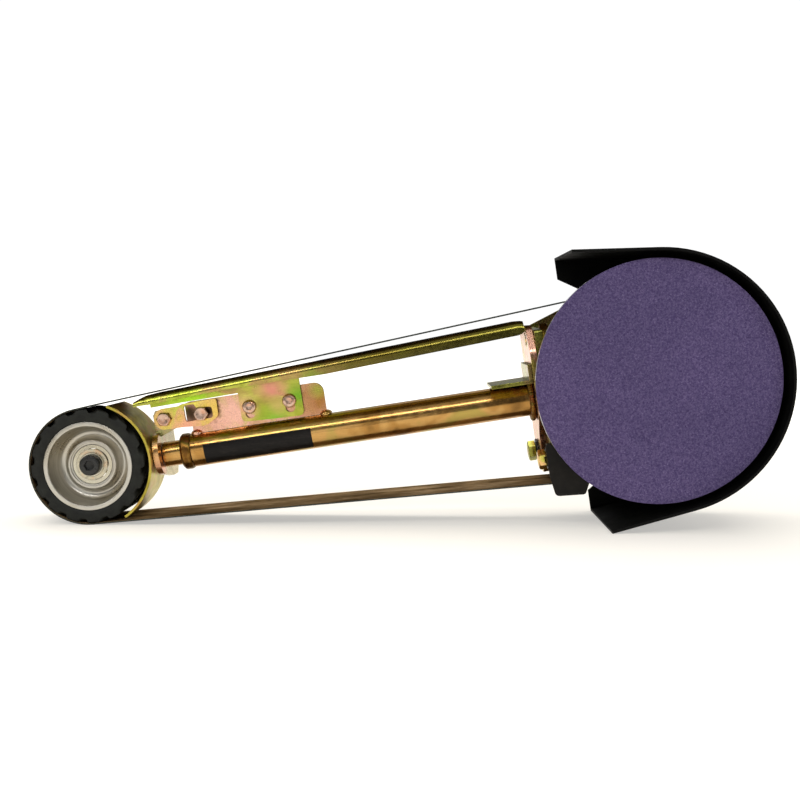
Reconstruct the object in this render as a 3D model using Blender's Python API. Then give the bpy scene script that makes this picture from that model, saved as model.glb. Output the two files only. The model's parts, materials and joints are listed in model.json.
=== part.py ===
"""Belt and disc attachment for a bench grinder, resting on a floor. Metres, +Z up.

Everything is modelled in the arm's own frame and then tilted: the drive axle is the origin,
"reach" (u) runs along the arm towards the contact wheel, which is local -X, and local +Z is up.
"""
import math

import bmesh
import bpy
from mathutils import Matrix, Vector

# Driving sizes
WHEEL_SPACING = 0.4275
ARM_TILT = math.radians(8.77)
BELT_HALF_WIDTH = 0.0254
BELT_THICKNESS = 0.0010
DRIVE_BELT_RADIUS = 0.0710
CONTACT_BELT_RADIUS = 0.0443
DISC_RADIUS = 0.0890
TUBE_RADIUS = 0.0127
TUBE_BORE = 0.0101
ROD_RADIUS = 0.0096
BUSH_RADIUS = 0.0139
GAP = 0.0003

# Reaches along the arm
FLANGE_REACH = (0.0760, 0.0817)
END_PLATE_REACH = (0.0820, 0.0870)
TUBE_REACH = (0.0873, 0.3517)
BUSH_REACH = (0.3520, 0.3600)
WEB_REACH = (0.2450, 0.3490)
WEB_TONGUE_REACH = 0.3525
BRACKET_REACH = (0.3743, 0.3788)
PLATEN_REACH = (0.0885, 0.3860)
PLATEN_NOSE = 0.0115
PLATEN_SCREW_REACH = (0.2718, 0.3028)
STUD_REACH = 0.3400
PIVOT_REACH = 0.3689
ROD_INNER_REACH = 0.2150

# Levels above the line through both axles
TUBE_LEVEL = -0.0020
WEB_TOP = 0.0356
TAB_LEVEL = TUBE_LEVEL + TUBE_RADIUS + GAP
SCREW_LEVEL = 0.0250
LATCH_LEVEL = 0.0254

# Depths: -Y is the disc side
WEB_DEPTH = (-0.0020, 0.0020)
SHEET_DEPTH = (-0.0053, -0.0023)
REAR_LEG_DEPTH = (0.0410, 0.0450)
GUARD_DEPTH = (-0.0557, 0.0468)
GUARD_PLATE_DEPTH = (0.0453, 0.0468)
ADAPTOR_DEPTH = (0.0409, 0.0471, 0.0531)
SIDE_ARM_DEPTH = (0.0380, 0.0420)

# Round pieces
GUARD_RADIUS = 0.0960
GUARD_THICKNESS = 0.0020
GUARD_END_REACH = 0.0500
SHAFT_OPENING_RADIUS = 0.0404
ADAPTOR_RADIUS = 0.0580
ADAPTOR_BORE = 0.0260
TYRE_RADIUS = CONTACT_BELT_RADIUS - BELT_THICKNESS - GAP
DRIVE_RADIUS = DRIVE_BELT_RADIUS - BELT_THICKNESS - GAP
WHEEL_HALF_WIDTH = 0.0250
HUB_RADIUS = 0.0335
SHIELD_RADIUS = 0.0484
SHIELD_THICKNESS = 0.0020
SHIELD_HALF_ANGLE = math.radians(63)
TYRE_NOTCHES = 16
NOTCH_DEPTH = 0.0026
NOTCH_WALL = 0.05
NOTCH_FLOOR = 0.37
NOTCH_SLANT = math.radians(52)
SPRING_TURNS = 12
WASHER_THICKNESS = 0.0016

# Clearance holes and fixings, as radii
SMALL_HOLE = 0.0024
M6_HOLE = 0.0033
M8_HOLE = 0.0043
M10_HOLE = 0.0053
SMALL_HEX_FLATS = 0.0098
SMALL_NUT_HEIGHT = 0.0042
RACE_HALF_WIDTH = 0.0045
RETAINER_THICKNESS = 0.0031

# Bolt centres on the end plate as (depth, level), and guard screws as (along, level)
ARM_BOLT_UPPER = (-0.0040, 0.0440)
ARM_BOLT_LOWER = (0.0200, -0.0440)
SIDE_GUARD_BOLT = (-0.0180, -0.0470)
GUARD_SCREWS = ((-0.0480, 0.0455), (-0.0480, -0.0455), (0.0500, 0.0380), (0.0500, -0.0380))

# The attachment stands on the belt at the contact wheel and on the guard's lower end edge
AXLE_HEIGHT = WHEEL_SPACING * math.sin(ARM_TILT) + CONTACT_BELT_RADIUS
GUARD_END_LEVEL = (AXLE_HEIGHT - GUARD_END_REACH * math.sin(ARM_TILT)) / math.cos(ARM_TILT)
LEFT_END = -(WHEEL_SPACING * math.cos(ARM_TILT) + CONTACT_BELT_RADIUS)
AXLE_X = -(LEFT_END + GUARD_RADIUS) / 2
AXLE_Y = -(GUARD_DEPTH[0] + ADAPTOR_DEPTH[2]) / 2

ALONG_Y = Vector((0, 1, 0))
ALONG_X = Vector((1, 0, 0))


def clear_scene():
    for item in list(bpy.data.objects):
        bpy.data.objects.remove(item, do_unlink=True)


def make_material(name, colour, roughness, metallic):
    material = bpy.data.materials.new(name)
    material.use_nodes = True
    shader = material.node_tree.nodes["Principled BSDF"]
    shader.inputs["Base Color"].default_value = (*colour, 1)
    shader.inputs["Roughness"].default_value = roughness
    shader.inputs["Metallic"].default_value = metallic
    material.diffuse_color = (*colour, 1)
    return material


def make_materials():
    looks = {
        "gold_zinc": ((0.62, 0.46, 0.16), 0.32, 1.0),
        "olive_zinc": ((0.50, 0.52, 0.22), 0.35, 1.0),
        "pink_zinc": ((0.70, 0.47, 0.36), 0.34, 1.0),
        "pale_zinc": ((0.66, 0.58, 0.50), 0.30, 1.0),
        "brown_zinc": ((0.30, 0.20, 0.08), 0.40, 1.0),
        "aluminium": ((0.72, 0.70, 0.67), 0.30, 1.0),
        "black_steel": ((0.015, 0.015, 0.013), 0.50, 0.2),
        "rubber": ((0.020, 0.021, 0.020), 0.75, 0.0),
        "purple_grit": ((0.105, 0.080, 0.185), 0.85, 0.0),
        "belt_cloth": ((0.24, 0.19, 0.15), 0.80, 0.0),
        "label": ((0.020, 0.016, 0.015), 0.40, 0.0),
    }
    return {name: make_material(name, *look) for name, look in looks.items()}


def add_empty(name, parent=None, location=(0, 0, 0)):
    empty = bpy.data.objects.new(name, None)
    empty.empty_display_size = 0.02
    empty.location = location
    empty.parent = parent
    bpy.context.scene.collection.objects.link(empty)
    return empty


def make_bodies():
    """Return the empties that carry each moving group, with their origins on the joint axes."""
    arm = add_empty("arm_frame", location=(AXLE_X, AXLE_Y, AXLE_HEIGHT))
    arm.rotation_euler.y = -ARM_TILT
    return {
        "frame": arm,
        "drive": add_empty("drive_axis", arm),
        "adaptor": add_empty("swivel_axis", arm),
        "carriage": add_empty("tension_carriage", arm),
        "contact": add_empty("contact_axis", arm, (-WHEEL_SPACING, 0, 0)),
        "latch": add_empty("latch_axis", arm, (-PIVOT_REACH, 0, LATCH_LEVEL)),
        "platen": add_empty("platen_slide", arm),
    }


def add_object(name, bm, material, parent):
    bmesh.ops.recalc_face_normals(bm, faces=bm.faces)
    mesh = bpy.data.meshes.new(name)
    bm.to_mesh(mesh)
    bm.free()
    mesh.shade_smooth()
    mesh.set_sharp_from_angle(angle=math.radians(32))
    mesh.materials.append(material)
    item = bpy.data.objects.new(name, mesh)
    item.parent = parent
    bpy.context.scene.collection.objects.link(item)
    return item


def hide_cutter(item):
    item.hide_render = True
    item.display_type = "WIRE"
    return item


def combine(item, other, operation="DIFFERENCE"):
    """Cut another closed shape out of an item, or weld it on; the other shape becomes a guide."""
    hide_cutter(other)
    modifier = item.modifiers.new(operation.lower(), "BOOLEAN")
    modifier.operation = operation
    modifier.solver = "EXACT"
    modifier.object = other
    return item


def weld(item, *others):
    for other in others:
        combine(item, other, "UNION")
    return item


def cut(item, *others):
    for other in others:
        combine(item, other)
    return item


def arc(centre, radius, start, end, steps):
    """Points on an arc, angles in degrees, both ends included."""
    points = []
    for step in range(steps + 1):
        angle = math.radians(start + (end - start) * step / steps)
        points.append((centre[0] + radius * math.cos(angle), centre[1] + radius * math.sin(angle)))
    return points


def capsule(start, end, radius, steps=10):
    """Outline of a slot with round ends between two centres."""
    heading = math.degrees(math.atan2(end[1] - start[1], end[0] - start[0]))
    tail = arc(start, radius, heading + 90, heading + 270, steps)
    return tail + arc(end, radius, heading - 90, heading + 90, steps)


def rounded(corners, radius, steps=4):
    """Round each corner of a convex or concave outline with a quadratic curve."""
    points = []
    count = len(corners)
    for index, corner in enumerate(corners):
        here = Vector(corner)
        reach_in = Vector(corners[index - 1]) - here
        reach_out = Vector(corners[(index + 1) % count]) - here
        trim = min(radius, reach_in.length / 2.2, reach_out.length / 2.2)
        start = here + reach_in.normalized() * trim
        end = here + reach_out.normalized() * trim
        for step in range(steps + 1):
            t = step / steps
            point = start * (1 - t) ** 2 + here * (2 * t * (1 - t)) + end * t ** 2
            points.append((point.x, point.y))
    return points


def rounded_run(corners, radius, steps=4):
    """Rounded corners of an open run: the first and last corner only set the directions."""
    return rounded(corners, radius, steps)[steps + 1:-steps - 1]


def side_point(p, q, depth):
    """An outline seen from the side: p along X, q up, extruded in Y."""
    return (p, depth, q)


def end_point(p, q, reach):
    """An outline seen from the arm's end: p along Y, q up, extruded along the reach."""
    return (-reach, p, q)


def prism(name, outline, span, material, parent, place=side_point):
    bm = bmesh.new()
    low = [bm.verts.new(place(p, q, span[0])) for p, q in outline]
    high = [bm.verts.new(place(p, q, span[1])) for p, q in outline]
    bm.faces.new(low)
    bm.faces.new(high)
    count = len(outline)
    for index in range(count):
        after = (index + 1) % count
        bm.faces.new((low[index], low[after], high[after], high[index]))
    return add_object(name, bm, material, parent)


def ring_vertices(bm, ring, sides, turn):
    """One ring of a turned piece: (radius, height) or (half the flats, height, "hex")."""
    verts = []
    for side in range(sides):
        angle = 2 * math.pi * side / sides
        radius = ring[0]
        if len(ring) == 3:
            radius /= math.cos(angle % (math.pi / 3) - math.pi / 6)
        point = Vector((radius * math.cos(angle), radius * math.sin(angle), ring[1]))
        verts.append(bm.verts.new(turn @ point))
    return verts


def turned(name, rings, at, along, material, parent, hollow=False, sides=28):
    """A turned piece through a list of rings, capped at both ends, or closed when it is hollow."""
    turn = Matrix.Translation(at) @ Vector((0, 0, 1)).rotation_difference(along).to_matrix().to_4x4()
    bm = bmesh.new()
    loops = [ring_vertices(bm, ring, sides, turn) for ring in rings]
    pairs = list(zip(loops, loops[1:]))
    if hollow:
        pairs.append((loops[-1], loops[0]))
    else:
        bm.faces.new(loops[0])
        bm.faces.new(loops[-1])
    for lower, upper in pairs:
        for side in range(sides):
            after = (side + 1) % sides
            bm.faces.new((lower[side], lower[after], upper[after], upper[side]))
    return add_object(name, bm, material, parent)


def drill(at, along, radius, length, parent, sides=16):
    return turned("drill", [(radius, 0), (radius, length)], at, along, None, parent, sides=sides)


def hex_bolt(name, at, along, flats, head, shank, length, material, parent, sides=18):
    """Hex bolt; at is the top of its head and along points down the shank."""
    half = flats / 2
    rings = [
        (half * 0.86, 0), (half * 0.99, head * 0.12, "hex"), (half, head * 0.2, "hex"),
        (half, head, "hex"), (shank, head), (shank, head + length),
    ]
    return turned(name, rings, at, along, material, parent, sides=sides)


def socket_screw(name, at, along, radius, head, shank, length, material, parent, dome=0.75, sides=12):
    """Socket-head screw with a hexagonal recess; dome is the flat part of the head's top."""
    recess = radius * 0.42
    rings = [
        (recess, head * 0.6, "hex"), (recess, 0, "hex"), (radius * dome, 0),
        (radius * 0.96, head * 0.35), (radius, head * 0.6), (radius, head),
        (shank, head), (shank, head + length),
    ]
    return turned(name, rings, at, along, material, parent, sides=sides)


def hex_nut(name, at, along, flats, height, bore, material, parent):
    half = flats / 2
    rings = [
        (bore, 0), (half * 0.88, 0), (half, height * 0.15, "hex"), (half, height * 0.85, "hex"),
        (half * 0.88, height), (bore, height),
    ]
    return turned(name, rings, at, along, material, parent, hollow=True, sides=18)


def washer(name, at, radius, thickness, bore, material, parent, along=ALONG_Y):
    edge = min(thickness * 0.25, 0.0004)
    rings = [
        (bore, 0), (radius - edge, 0), (radius, edge), (radius, thickness - edge),
        (radius - edge, thickness), (bore, thickness),
    ]
    return turned(name, rings, at, along, material, parent, hollow=True)


def belt_path(inset):
    """Closed loop (x, z) round both wheels, inset from the belt's outer face."""
    drive = DRIVE_BELT_RADIUS - inset
    contact = CONTACT_BELT_RADIUS - inset
    lean = math.degrees(math.asin((drive - contact) / WHEEL_SPACING))
    path = arc((0, 0), drive, 90 + lean, -90 - lean, 48)
    return path + arc((-WHEEL_SPACING, 0), contact, -90 - lean, -270 + lean, 40)


def loop_band(name, outer, inner, span, material, parent):
    """A closed band between two matching loops, extruded in Y."""
    bm = bmesh.new()
    loops = [
        [bm.verts.new((x, depth, z)) for x, z in path]
        for path, depth in ((outer, span[0]), (outer, span[1]), (inner, span[1]), (inner, span[0]))
    ]
    count = len(outer)
    for first, second in zip(loops, loops[1:] + loops[:1]):
        for index in range(count):
            after = (index + 1) % count
            bm.faces.new((first[index], first[after], second[after], second[index]))
    return add_object(name, bm, material, parent)


def make_belt(looks, bodies):
    span = (-BELT_HALF_WIDTH, BELT_HALF_WIDTH)
    inner = belt_path(BELT_THICKNESS)
    loop_band("abrasive_belt", belt_path(0), inner, span, looks["belt_cloth"], bodies["frame"])


def make_tube(looks, frame):
    length = TUBE_REACH[1] - TUBE_REACH[0]
    rings = [(TUBE_BORE, 0), (TUBE_RADIUS, 0), (TUBE_RADIUS, length), (TUBE_BORE, length)]
    at = Vector((-TUBE_REACH[0], 0, TUBE_LEVEL))
    turned("arm_tube", rings, at, -ALONG_X, looks["gold_zinc"], frame, hollow=True, sides=40)

    length = BUSH_REACH[1] - BUSH_REACH[0]
    chamfer = 0.0018
    bore = ROD_RADIUS + GAP
    rings = [
        (bore, 0), (BUSH_RADIUS - chamfer / 2, 0), (BUSH_RADIUS, chamfer), (BUSH_RADIUS, length - chamfer),
        (BUSH_RADIUS - chamfer, length), (bore, length),
    ]
    at = Vector((-BUSH_REACH[0], 0, TUBE_LEVEL))
    turned("rod_bush", rings, at, -ALONG_X, looks["brown_zinc"], frame, hollow=True, sides=40)


def make_label(looks, frame):
    """Blank dark band on the near side of the tube."""
    inner = TUBE_RADIUS + GAP
    outer = inner + 0.0003
    top, bottom = 161, 233
    centre = (0, TUBE_LEVEL)
    outline = arc(centre, outer, top, bottom, 16) + arc(centre, inner, bottom, top, 16)
    prism("tube_label", outline, (0.2585, 0.3415), looks["label"], frame, end_point)


def make_tube_weld(looks, frame):
    """Fillet round the tube at the end plate, left open under the angle tab."""
    start = END_PLATE_REACH[1] + GAP
    bore = TUBE_RADIUS + GAP
    rings = [(bore, 0), (bore + 0.0038, 0), (bore + 0.0030, 0.0022), (bore + 0.0004, 0.0052), (bore, 0.0052)]
    at = Vector((-start, 0, TUBE_LEVEL))
    bead = turned("tube_end_weld", rings, at, -ALONG_X, looks["brown_zinc"], frame, hollow=True)
    box = [(-0.03, TAB_LEVEL - GAP), (0.03, TAB_LEVEL - GAP), (0.03, 0.03), (-0.03, 0.03)]
    cut(bead, prism("weld_trim", box, (0.07, 0.11), None, frame, end_point))


def make_web(looks, frame):
    bore = TUBE_RADIUS + GAP
    bottom = TUBE_LEVEL + bore - 0.0010
    low, high = WEB_REACH
    corner = 0.0075
    outline = arc((-low - corner, WEB_TOP - corner), corner, 90, 0, 6)
    outline += [(-low, bottom), (-high, bottom), (-high, 0.0190)]
    outline += [(-WEB_TONGUE_REACH, 0.0202), (-WEB_TONGUE_REACH, 0.0347), (-high, WEB_TOP)]
    web = prism("web_plate", outline, WEB_DEPTH, looks["pink_zinc"], frame)
    holes = [(reach, SCREW_LEVEL) for reach in PLATEN_SCREW_REACH] + [(STUD_REACH, LATCH_LEVEL)]
    for reach, level in holes:
        cut(web, drill(Vector((-reach, -0.01, level)), ALONG_Y, M6_HOLE, 0.02, frame))
    for reach in (low + 0.0010, high - 0.0025):
        weld(web, make_weld_bead(reach, frame))
    cut(web, drill(Vector((-0.2, 0, TUBE_LEVEL)), -ALONG_X, bore, 0.2, frame, sides=48))


def make_weld_bead(reach, frame):
    bm = bmesh.new()
    place = Matrix.Translation((-reach, 0, TUBE_LEVEL + TUBE_RADIUS))
    place @= Matrix.Diagonal((0.0050, 0.0060, 0.0032, 1))
    bmesh.ops.create_uvsphere(bm, u_segments=14, v_segments=8, radius=1, matrix=place)
    return add_object("weld_bead", bm, None, frame)


def make_end_plate(looks, frame):
    """Plate across the arm's end: full depth above the tube, narrower at its lower end."""
    outline = rounded([
        (-0.0150, 0.0540), (0.0360, 0.0540), (0.0400, -0.0600), (0.0020, -0.0600),
        (-0.0040, -0.0300), (-0.0240, -0.0120), (-0.0250, 0.0330),
    ], 0.004)
    plate = prism("arm_end_plate", outline, END_PLATE_REACH, looks["pink_zinc"], frame, end_point)
    cut(plate, drill(Vector((-0.1, *ARM_BOLT_UPPER)), ALONG_X, M10_HOLE, 0.03, frame))
    cut(plate, drill(Vector((-0.1, *ARM_BOLT_LOWER)), ALONG_X, M8_HOLE, 0.03, frame))

    leg = (END_PLATE_REACH[1] + GAP, END_PLATE_REACH[1] + GAP + 0.0030)
    top, end = 0.0255, 0.1190
    low, high = TAB_LEVEL, TAB_LEVEL + 0.0028
    tab = [(-leg[0], low), (-leg[0], top), (-leg[1], top), (-leg[1], high), (-end, high), (-end, low)]
    prism("angle_tab", tab, (-0.0250, 0.0300), looks["olive_zinc"], frame)


def rear_leg_outline():
    top = [(-FLANGE_REACH[1], 0.0520), (-0.0510, 0.0624)]
    swing = arc((0, 0), 0.0680, 110, -110, 36)
    return top + swing + [(x, -z) for x, z in reversed(top)]


def make_mount_bracket(looks, frame):
    """Bent plate: a flange across the arm and a rear leg round the shaft opening."""
    leg = prism("mount_bracket", rear_leg_outline(), REAR_LEG_DEPTH, looks["olive_zinc"], frame)
    outline = rounded([(-0.0250, 0.0500), (0.0450, 0.0520), (0.0450, -0.0520), (-0.0250, -0.0600)], 0.0025, 3)
    flange = prism("mount_flange", outline, FLANGE_REACH, None, frame, end_point)
    weld(leg, flange)
    cut(leg, drill(Vector((0, 0.03, 0)), ALONG_Y, SHAFT_OPENING_RADIUS, 0.03, frame, sides=48))
    cut(leg, drill(Vector((-0.1, *ARM_BOLT_UPPER)), ALONG_X, M10_HOLE, 0.03, frame))
    cut(leg, drill(Vector((-0.1, *ARM_BOLT_LOWER)), ALONG_X, M8_HOLE, 0.03, frame))
    cut(leg, drill(Vector((-0.1, *SIDE_GUARD_BOLT)), ALONG_X, M6_HOLE, 0.03, frame))
    for x, z in GUARD_SCREWS:
        cut(leg, drill(Vector((x, 0.03, z)), ALONG_Y, SMALL_HOLE, 0.03, frame))
    return leg


def make_arm_bolts(looks, frame):
    head_top = -(FLANGE_REACH[0] - GAP - 0.0070)
    hex_bolt("arm_bolt_upper", Vector((head_top, *ARM_BOLT_UPPER)), -ALONG_X, 0.0165, 0.0070, 0.0050,
             0.0118, looks["gold_zinc"], frame)
    under_head = -(END_PLATE_REACH[1] + GAP + WASHER_THICKNESS)
    washer("arm_bolt_washer", Vector((under_head, *ARM_BOLT_LOWER)), 0.0088, WASHER_THICKNESS, M8_HOLE,
           looks["black_steel"], frame, ALONG_X)
    head_top = under_head - GAP - 0.0062
    hex_bolt("arm_bolt_lower", Vector((head_top, *ARM_BOLT_LOWER)), ALONG_X, 0.0135, 0.0062, 0.0040,
             0.0220, looks["pale_zinc"], frame)
    nut_start = -(FLANGE_REACH[0] - GAP)
    hex_nut("arm_nut_lower", Vector((nut_start, *ARM_BOLT_LOWER)), ALONG_X, 0.0135, 0.0060, M8_HOLE,
            looks["pale_zinc"], frame)


def make_side_guard(looks, frame):
    """Black plate beside the belt's lower run, bent onto the flange and bolted there."""
    tab_reach = (FLANGE_REACH[1] + GAP, FLANGE_REACH[1] + GAP + 0.0018)
    left = -0.0862
    outline = rounded([
        (left, -0.0345), (left, -0.0590), (-0.0838, -0.0742), (-0.0618, -0.0760),
        (-0.0600, -0.0720), (-0.0480, -0.0480), (-0.0560, -0.0345),
    ], 0.003)
    side = prism("side_guard", outline, (-0.0310, -0.0292), looks["black_steel"], frame)
    tab = [(-0.0300, -0.0360), (-0.0090, -0.0360), (-0.0090, -0.0560), (-0.0300, -0.0560)]
    weld(side, prism("side_guard_tab", rounded(tab, 0.002), tab_reach, None, frame, end_point))
    cut(side, drill(Vector((-0.1, *SIDE_GUARD_BOLT)), ALONG_X, M6_HOLE, 0.03, frame))
    under_head = -(tab_reach[1] + GAP + WASHER_THICKNESS)
    washer("side_guard_washer", Vector((under_head, *SIDE_GUARD_BOLT)), 0.0078, WASHER_THICKNESS, M6_HOLE,
           looks["black_steel"], frame, ALONG_X)
    head_top = under_head - GAP - 0.0060
    hex_bolt("side_guard_bolt", Vector((head_top, *SIDE_GUARD_BOLT)), ALONG_X, 0.0130, 0.0060, 0.0030,
             0.0140, looks["gold_zinc"], frame)


def guard_path(inset):
    """Half of the guard's side profile and its mirror: flared end, arc round the back, flared end."""
    radius = GUARD_RADIUS - inset
    end = (-GUARD_END_REACH, GUARD_END_LEVEL - inset)
    reach = math.hypot(*end)
    tangent = math.degrees(math.atan2(end[1], end[0]) - math.acos(radius / reach))
    swing = arc((0, 0), radius, tangent, -tangent, 44)
    return [end] + swing + [(end[0], -end[1])]


def make_guard(looks, frame):
    outline = guard_path(0) + list(reversed(guard_path(GUARD_THICKNESS)))
    band = prism("guard", outline, GUARD_DEPTH, looks["black_steel"], frame)
    inner = [(-0.0500, 0.0860), (-0.0350, 0.0762), (-0.0580, 0.0500)]
    plate_outline = guard_path(GUARD_THICKNESS / 2) + [(x, -z) for x, z in inner] + list(reversed(inner))
    plate = prism("guard_plate", plate_outline, GUARD_PLATE_DEPTH, None, frame)
    weld(band, plate)
    cut(band, drill(Vector((0, 0.03, 0)), ALONG_Y, SHAFT_OPENING_RADIUS, 0.03, frame, sides=48))
    for index, (x, z) in enumerate(GUARD_SCREWS):
        cut(band, drill(Vector((x, 0.03, z)), ALONG_Y, SMALL_HOLE, 0.03, frame))
        top = GUARD_DEPTH[1] + GAP + 0.0024
        socket_screw("guard_screw_%d" % (index + 1), Vector((x, top, z)), -ALONG_Y, 0.0040, 0.0024,
                     0.0020, 0.0055, looks["black_steel"], frame)


def make_drive(looks, drive):
    half = WHEEL_HALF_WIDTH
    rim = DRIVE_RADIUS - 0.0055
    rings = [
        (0.0080, -0.012), (0.0140, -0.012), (0.0140, -half), (0.0320, -half), (0.0320, -0.004),
        (rim, -0.004), (rim + 0.001, -half), (DRIVE_RADIUS - 0.001, -half), (DRIVE_RADIUS, -half + 0.001),
        (DRIVE_RADIUS, half - 0.001), (DRIVE_RADIUS - 0.001, half), (rim + 0.001, half), (rim, 0.004),
        (0.0200, 0.004), (0.0170, 0.034), (0.0080, 0.034),
    ]
    wheel = turned("drive_wheel", rings, Vector(), ALONG_Y, looks["aluminium"], drive, hollow=True, sides=56)

    rings = [
        (0.0140, -0.0425), (0.0140, -half - GAP), (0.0300, -half - GAP), (0.0310, -0.0410),
        (DISC_RADIUS - 0.0015, -0.0410), (DISC_RADIUS, -0.0420), (DISC_RADIUS, -0.0460),
        (DISC_RADIUS - 0.0005, -0.0465),
    ]
    plate = turned("disc_plate", rings, Vector(), ALONG_Y, looks["aluminium"], drive, sides=64)
    rings = [(DISC_RADIUS, -0.0468), (DISC_RADIUS, -0.0477)]
    turned("sanding_disc", rings, Vector(), ALONG_Y, looks["purple_grit"], drive, sides=64)
    for index in range(3):
        angle = math.radians(97 + 120 * index)
        x, z = 0.0220 * math.cos(angle), 0.0220 * math.sin(angle)
        steps = [(0.0048, 0), (0.0048, 0.0081), (0.0028, 0.0081), (0.0028, 0.03)]
        cut(plate, turned("disc_drill", steps, Vector((x, -0.05, z)), ALONG_Y, None, drive, sides=16))
        cut(wheel, drill(Vector((x, -0.03, z)), ALONG_Y, 0.0028, 0.0200, drive))
        socket_screw("disc_screw_%d" % (index + 1), Vector((x, -0.0462, z)), ALONG_Y, 0.0042, 0.0040,
                     0.0025, 0.0300, looks["black_steel"], drive)


def make_adaptor(looks, adaptor):
    """Ring that bolts to the grinder, turning in the shaft opening and held by a retainer."""
    front, face, back = ADAPTOR_DEPTH
    spigot = SHAFT_OPENING_RADIUS - GAP
    rings = [
        (ADAPTOR_BORE, front), (spigot, front), (spigot, face), (ADAPTOR_RADIUS, face),
        (ADAPTOR_RADIUS, back), (ADAPTOR_BORE, back),
    ]
    plate = turned("adaptor_plate", rings, Vector(), ALONG_Y, looks["aluminium"], adaptor,
                   hollow=True, sides=48)
    for index in range(4):
        angle = math.radians(45 + 90 * index)
        toward = Vector((math.cos(angle), math.sin(angle)))
        slot = capsule(toward * 0.0455, toward * 0.0515, 0.0034)
        cut(plate, prism("adaptor_slot", slot, (0.0450, 0.0560), None, adaptor))

    inner_face = REAR_LEG_DEPTH[0] - 0.0004
    outer_face = inner_face - RETAINER_THICKNESS
    rings = [
        (ADAPTOR_BORE, outer_face), (0.0460, outer_face), (0.0460, inner_face), (ADAPTOR_BORE, inner_face),
    ]
    ring = turned("swivel_retainer", rings, Vector(), ALONG_Y, looks["olive_zinc"], adaptor,
                  hollow=True, sides=48)
    for index in range(3):
        angle = math.radians(97 + 120 * index)
        x, z = 0.0330 * math.cos(angle), 0.0330 * math.sin(angle)
        cut(ring, drill(Vector((x, 0.03, z)), ALONG_Y, SMALL_HOLE, 0.02, adaptor))
        cut(plate, drill(Vector((x, 0.03, z)), ALONG_Y, SMALL_HOLE, 0.0200, adaptor))
        head_top = outer_face - GAP - 0.0026
        socket_screw("retainer_screw_%d" % (index + 1), Vector((x, head_top, z)), ALONG_Y, 0.0036, 0.0026,
                     0.0020, 0.0125, looks["black_steel"], adaptor)


def make_spring(looks, frame):
    """Coil between the end plate and the rod's inner end, inside the tube."""
    start, end = END_PLATE_REACH[1] + 0.0020, ROD_INNER_REACH - 0.0015
    radius = 0.0074
    per_turn = 12
    count = SPRING_TURNS * per_turn
    curve = bpy.data.curves.new("tension_spring", "CURVE")
    curve.dimensions = "3D"
    curve.bevel_depth = 0.0010
    curve.bevel_resolution = 0
    curve.use_fill_caps = True
    spline = curve.splines.new("POLY")
    spline.points.add(count)
    for index in range(count + 1):
        angle = 2 * math.pi * index / per_turn
        reach = start + (end - start) * index / count
        spline.points[index].co = (-reach, radius * math.cos(angle), TUBE_LEVEL + radius * math.sin(angle), 1)
    curve.materials.append(looks["black_steel"])
    spring = bpy.data.objects.new("tension_spring", curve)
    spring.parent = frame
    bpy.context.scene.collection.objects.link(spring)


def make_carriage(looks, carriage):
    """The sprung part: rod, bracket, shield, axle and what is fixed on it."""
    end = BRACKET_REACH[0] - 0.0005
    length = end - ROD_INNER_REACH
    rings = [(ROD_RADIUS - 0.001, 0), (ROD_RADIUS, 0.001), (ROD_RADIUS, length)]
    at = Vector((-ROD_INNER_REACH, 0, TUBE_LEVEL))
    turned("tension_rod", rings, at, -ALONG_X, looks["gold_zinc"], carriage)
    make_wheel_bracket(looks, carriage)

    centre = (-WHEEL_SPACING, 0)
    swing = math.degrees(SHIELD_HALF_ANGLE)
    outline = arc(centre, SHIELD_RADIUS, -swing, swing, 30)
    outline += arc(centre, SHIELD_RADIUS - SHIELD_THICKNESS, swing, -swing, 30)
    prism("wheel_shield", outline, (-WHEEL_HALF_WIDTH, WHEEL_HALF_WIDTH), looks["olive_zinc"], carriage)


def make_wheel_bracket(looks, carriage):
    base = arc((-0.0040, -0.0005), 0.0160, 90, 270, 12)
    base += [(0.0200, -0.0205), (0.0340, -0.0205), (0.0420, -0.0125), (0.0420, 0.0155)]
    bracket = prism("wheel_bracket", base, BRACKET_REACH, looks["olive_zinc"], carriage, end_point)
    inner = -BRACKET_REACH[0] - 0.0008
    side = arc((-WHEEL_SPACING, 0), 0.0140, 80, 280, 14) + [(inner, -0.0120), (inner, 0.0150)]
    lug = [
        (inner, 0.0120), (-PIVOT_REACH + 0.0070, 0.0170), (-PIVOT_REACH + 0.0070, 0.0290),
        (-PIVOT_REACH + 0.0030, 0.0325), (-0.3760, 0.0325), (-0.3780, 0.0290), (-0.3780, 0.0080),
    ]
    side_arm = prism("bracket_side_arm", side, SIDE_ARM_DEPTH, None, carriage)
    ear = prism("bracket_ear", lug, (-0.0020, 0.0018), None, carriage)
    weld(bracket, side_arm, ear)
    cut(bracket, drill(Vector((-WHEEL_SPACING, 0.03, 0)), ALONG_Y, M10_HOLE, 0.02, carriage))
    cut(bracket, drill(Vector((-PIVOT_REACH, -0.01, LATCH_LEVEL)), ALONG_Y, M6_HOLE, 0.02, carriage))


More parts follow.
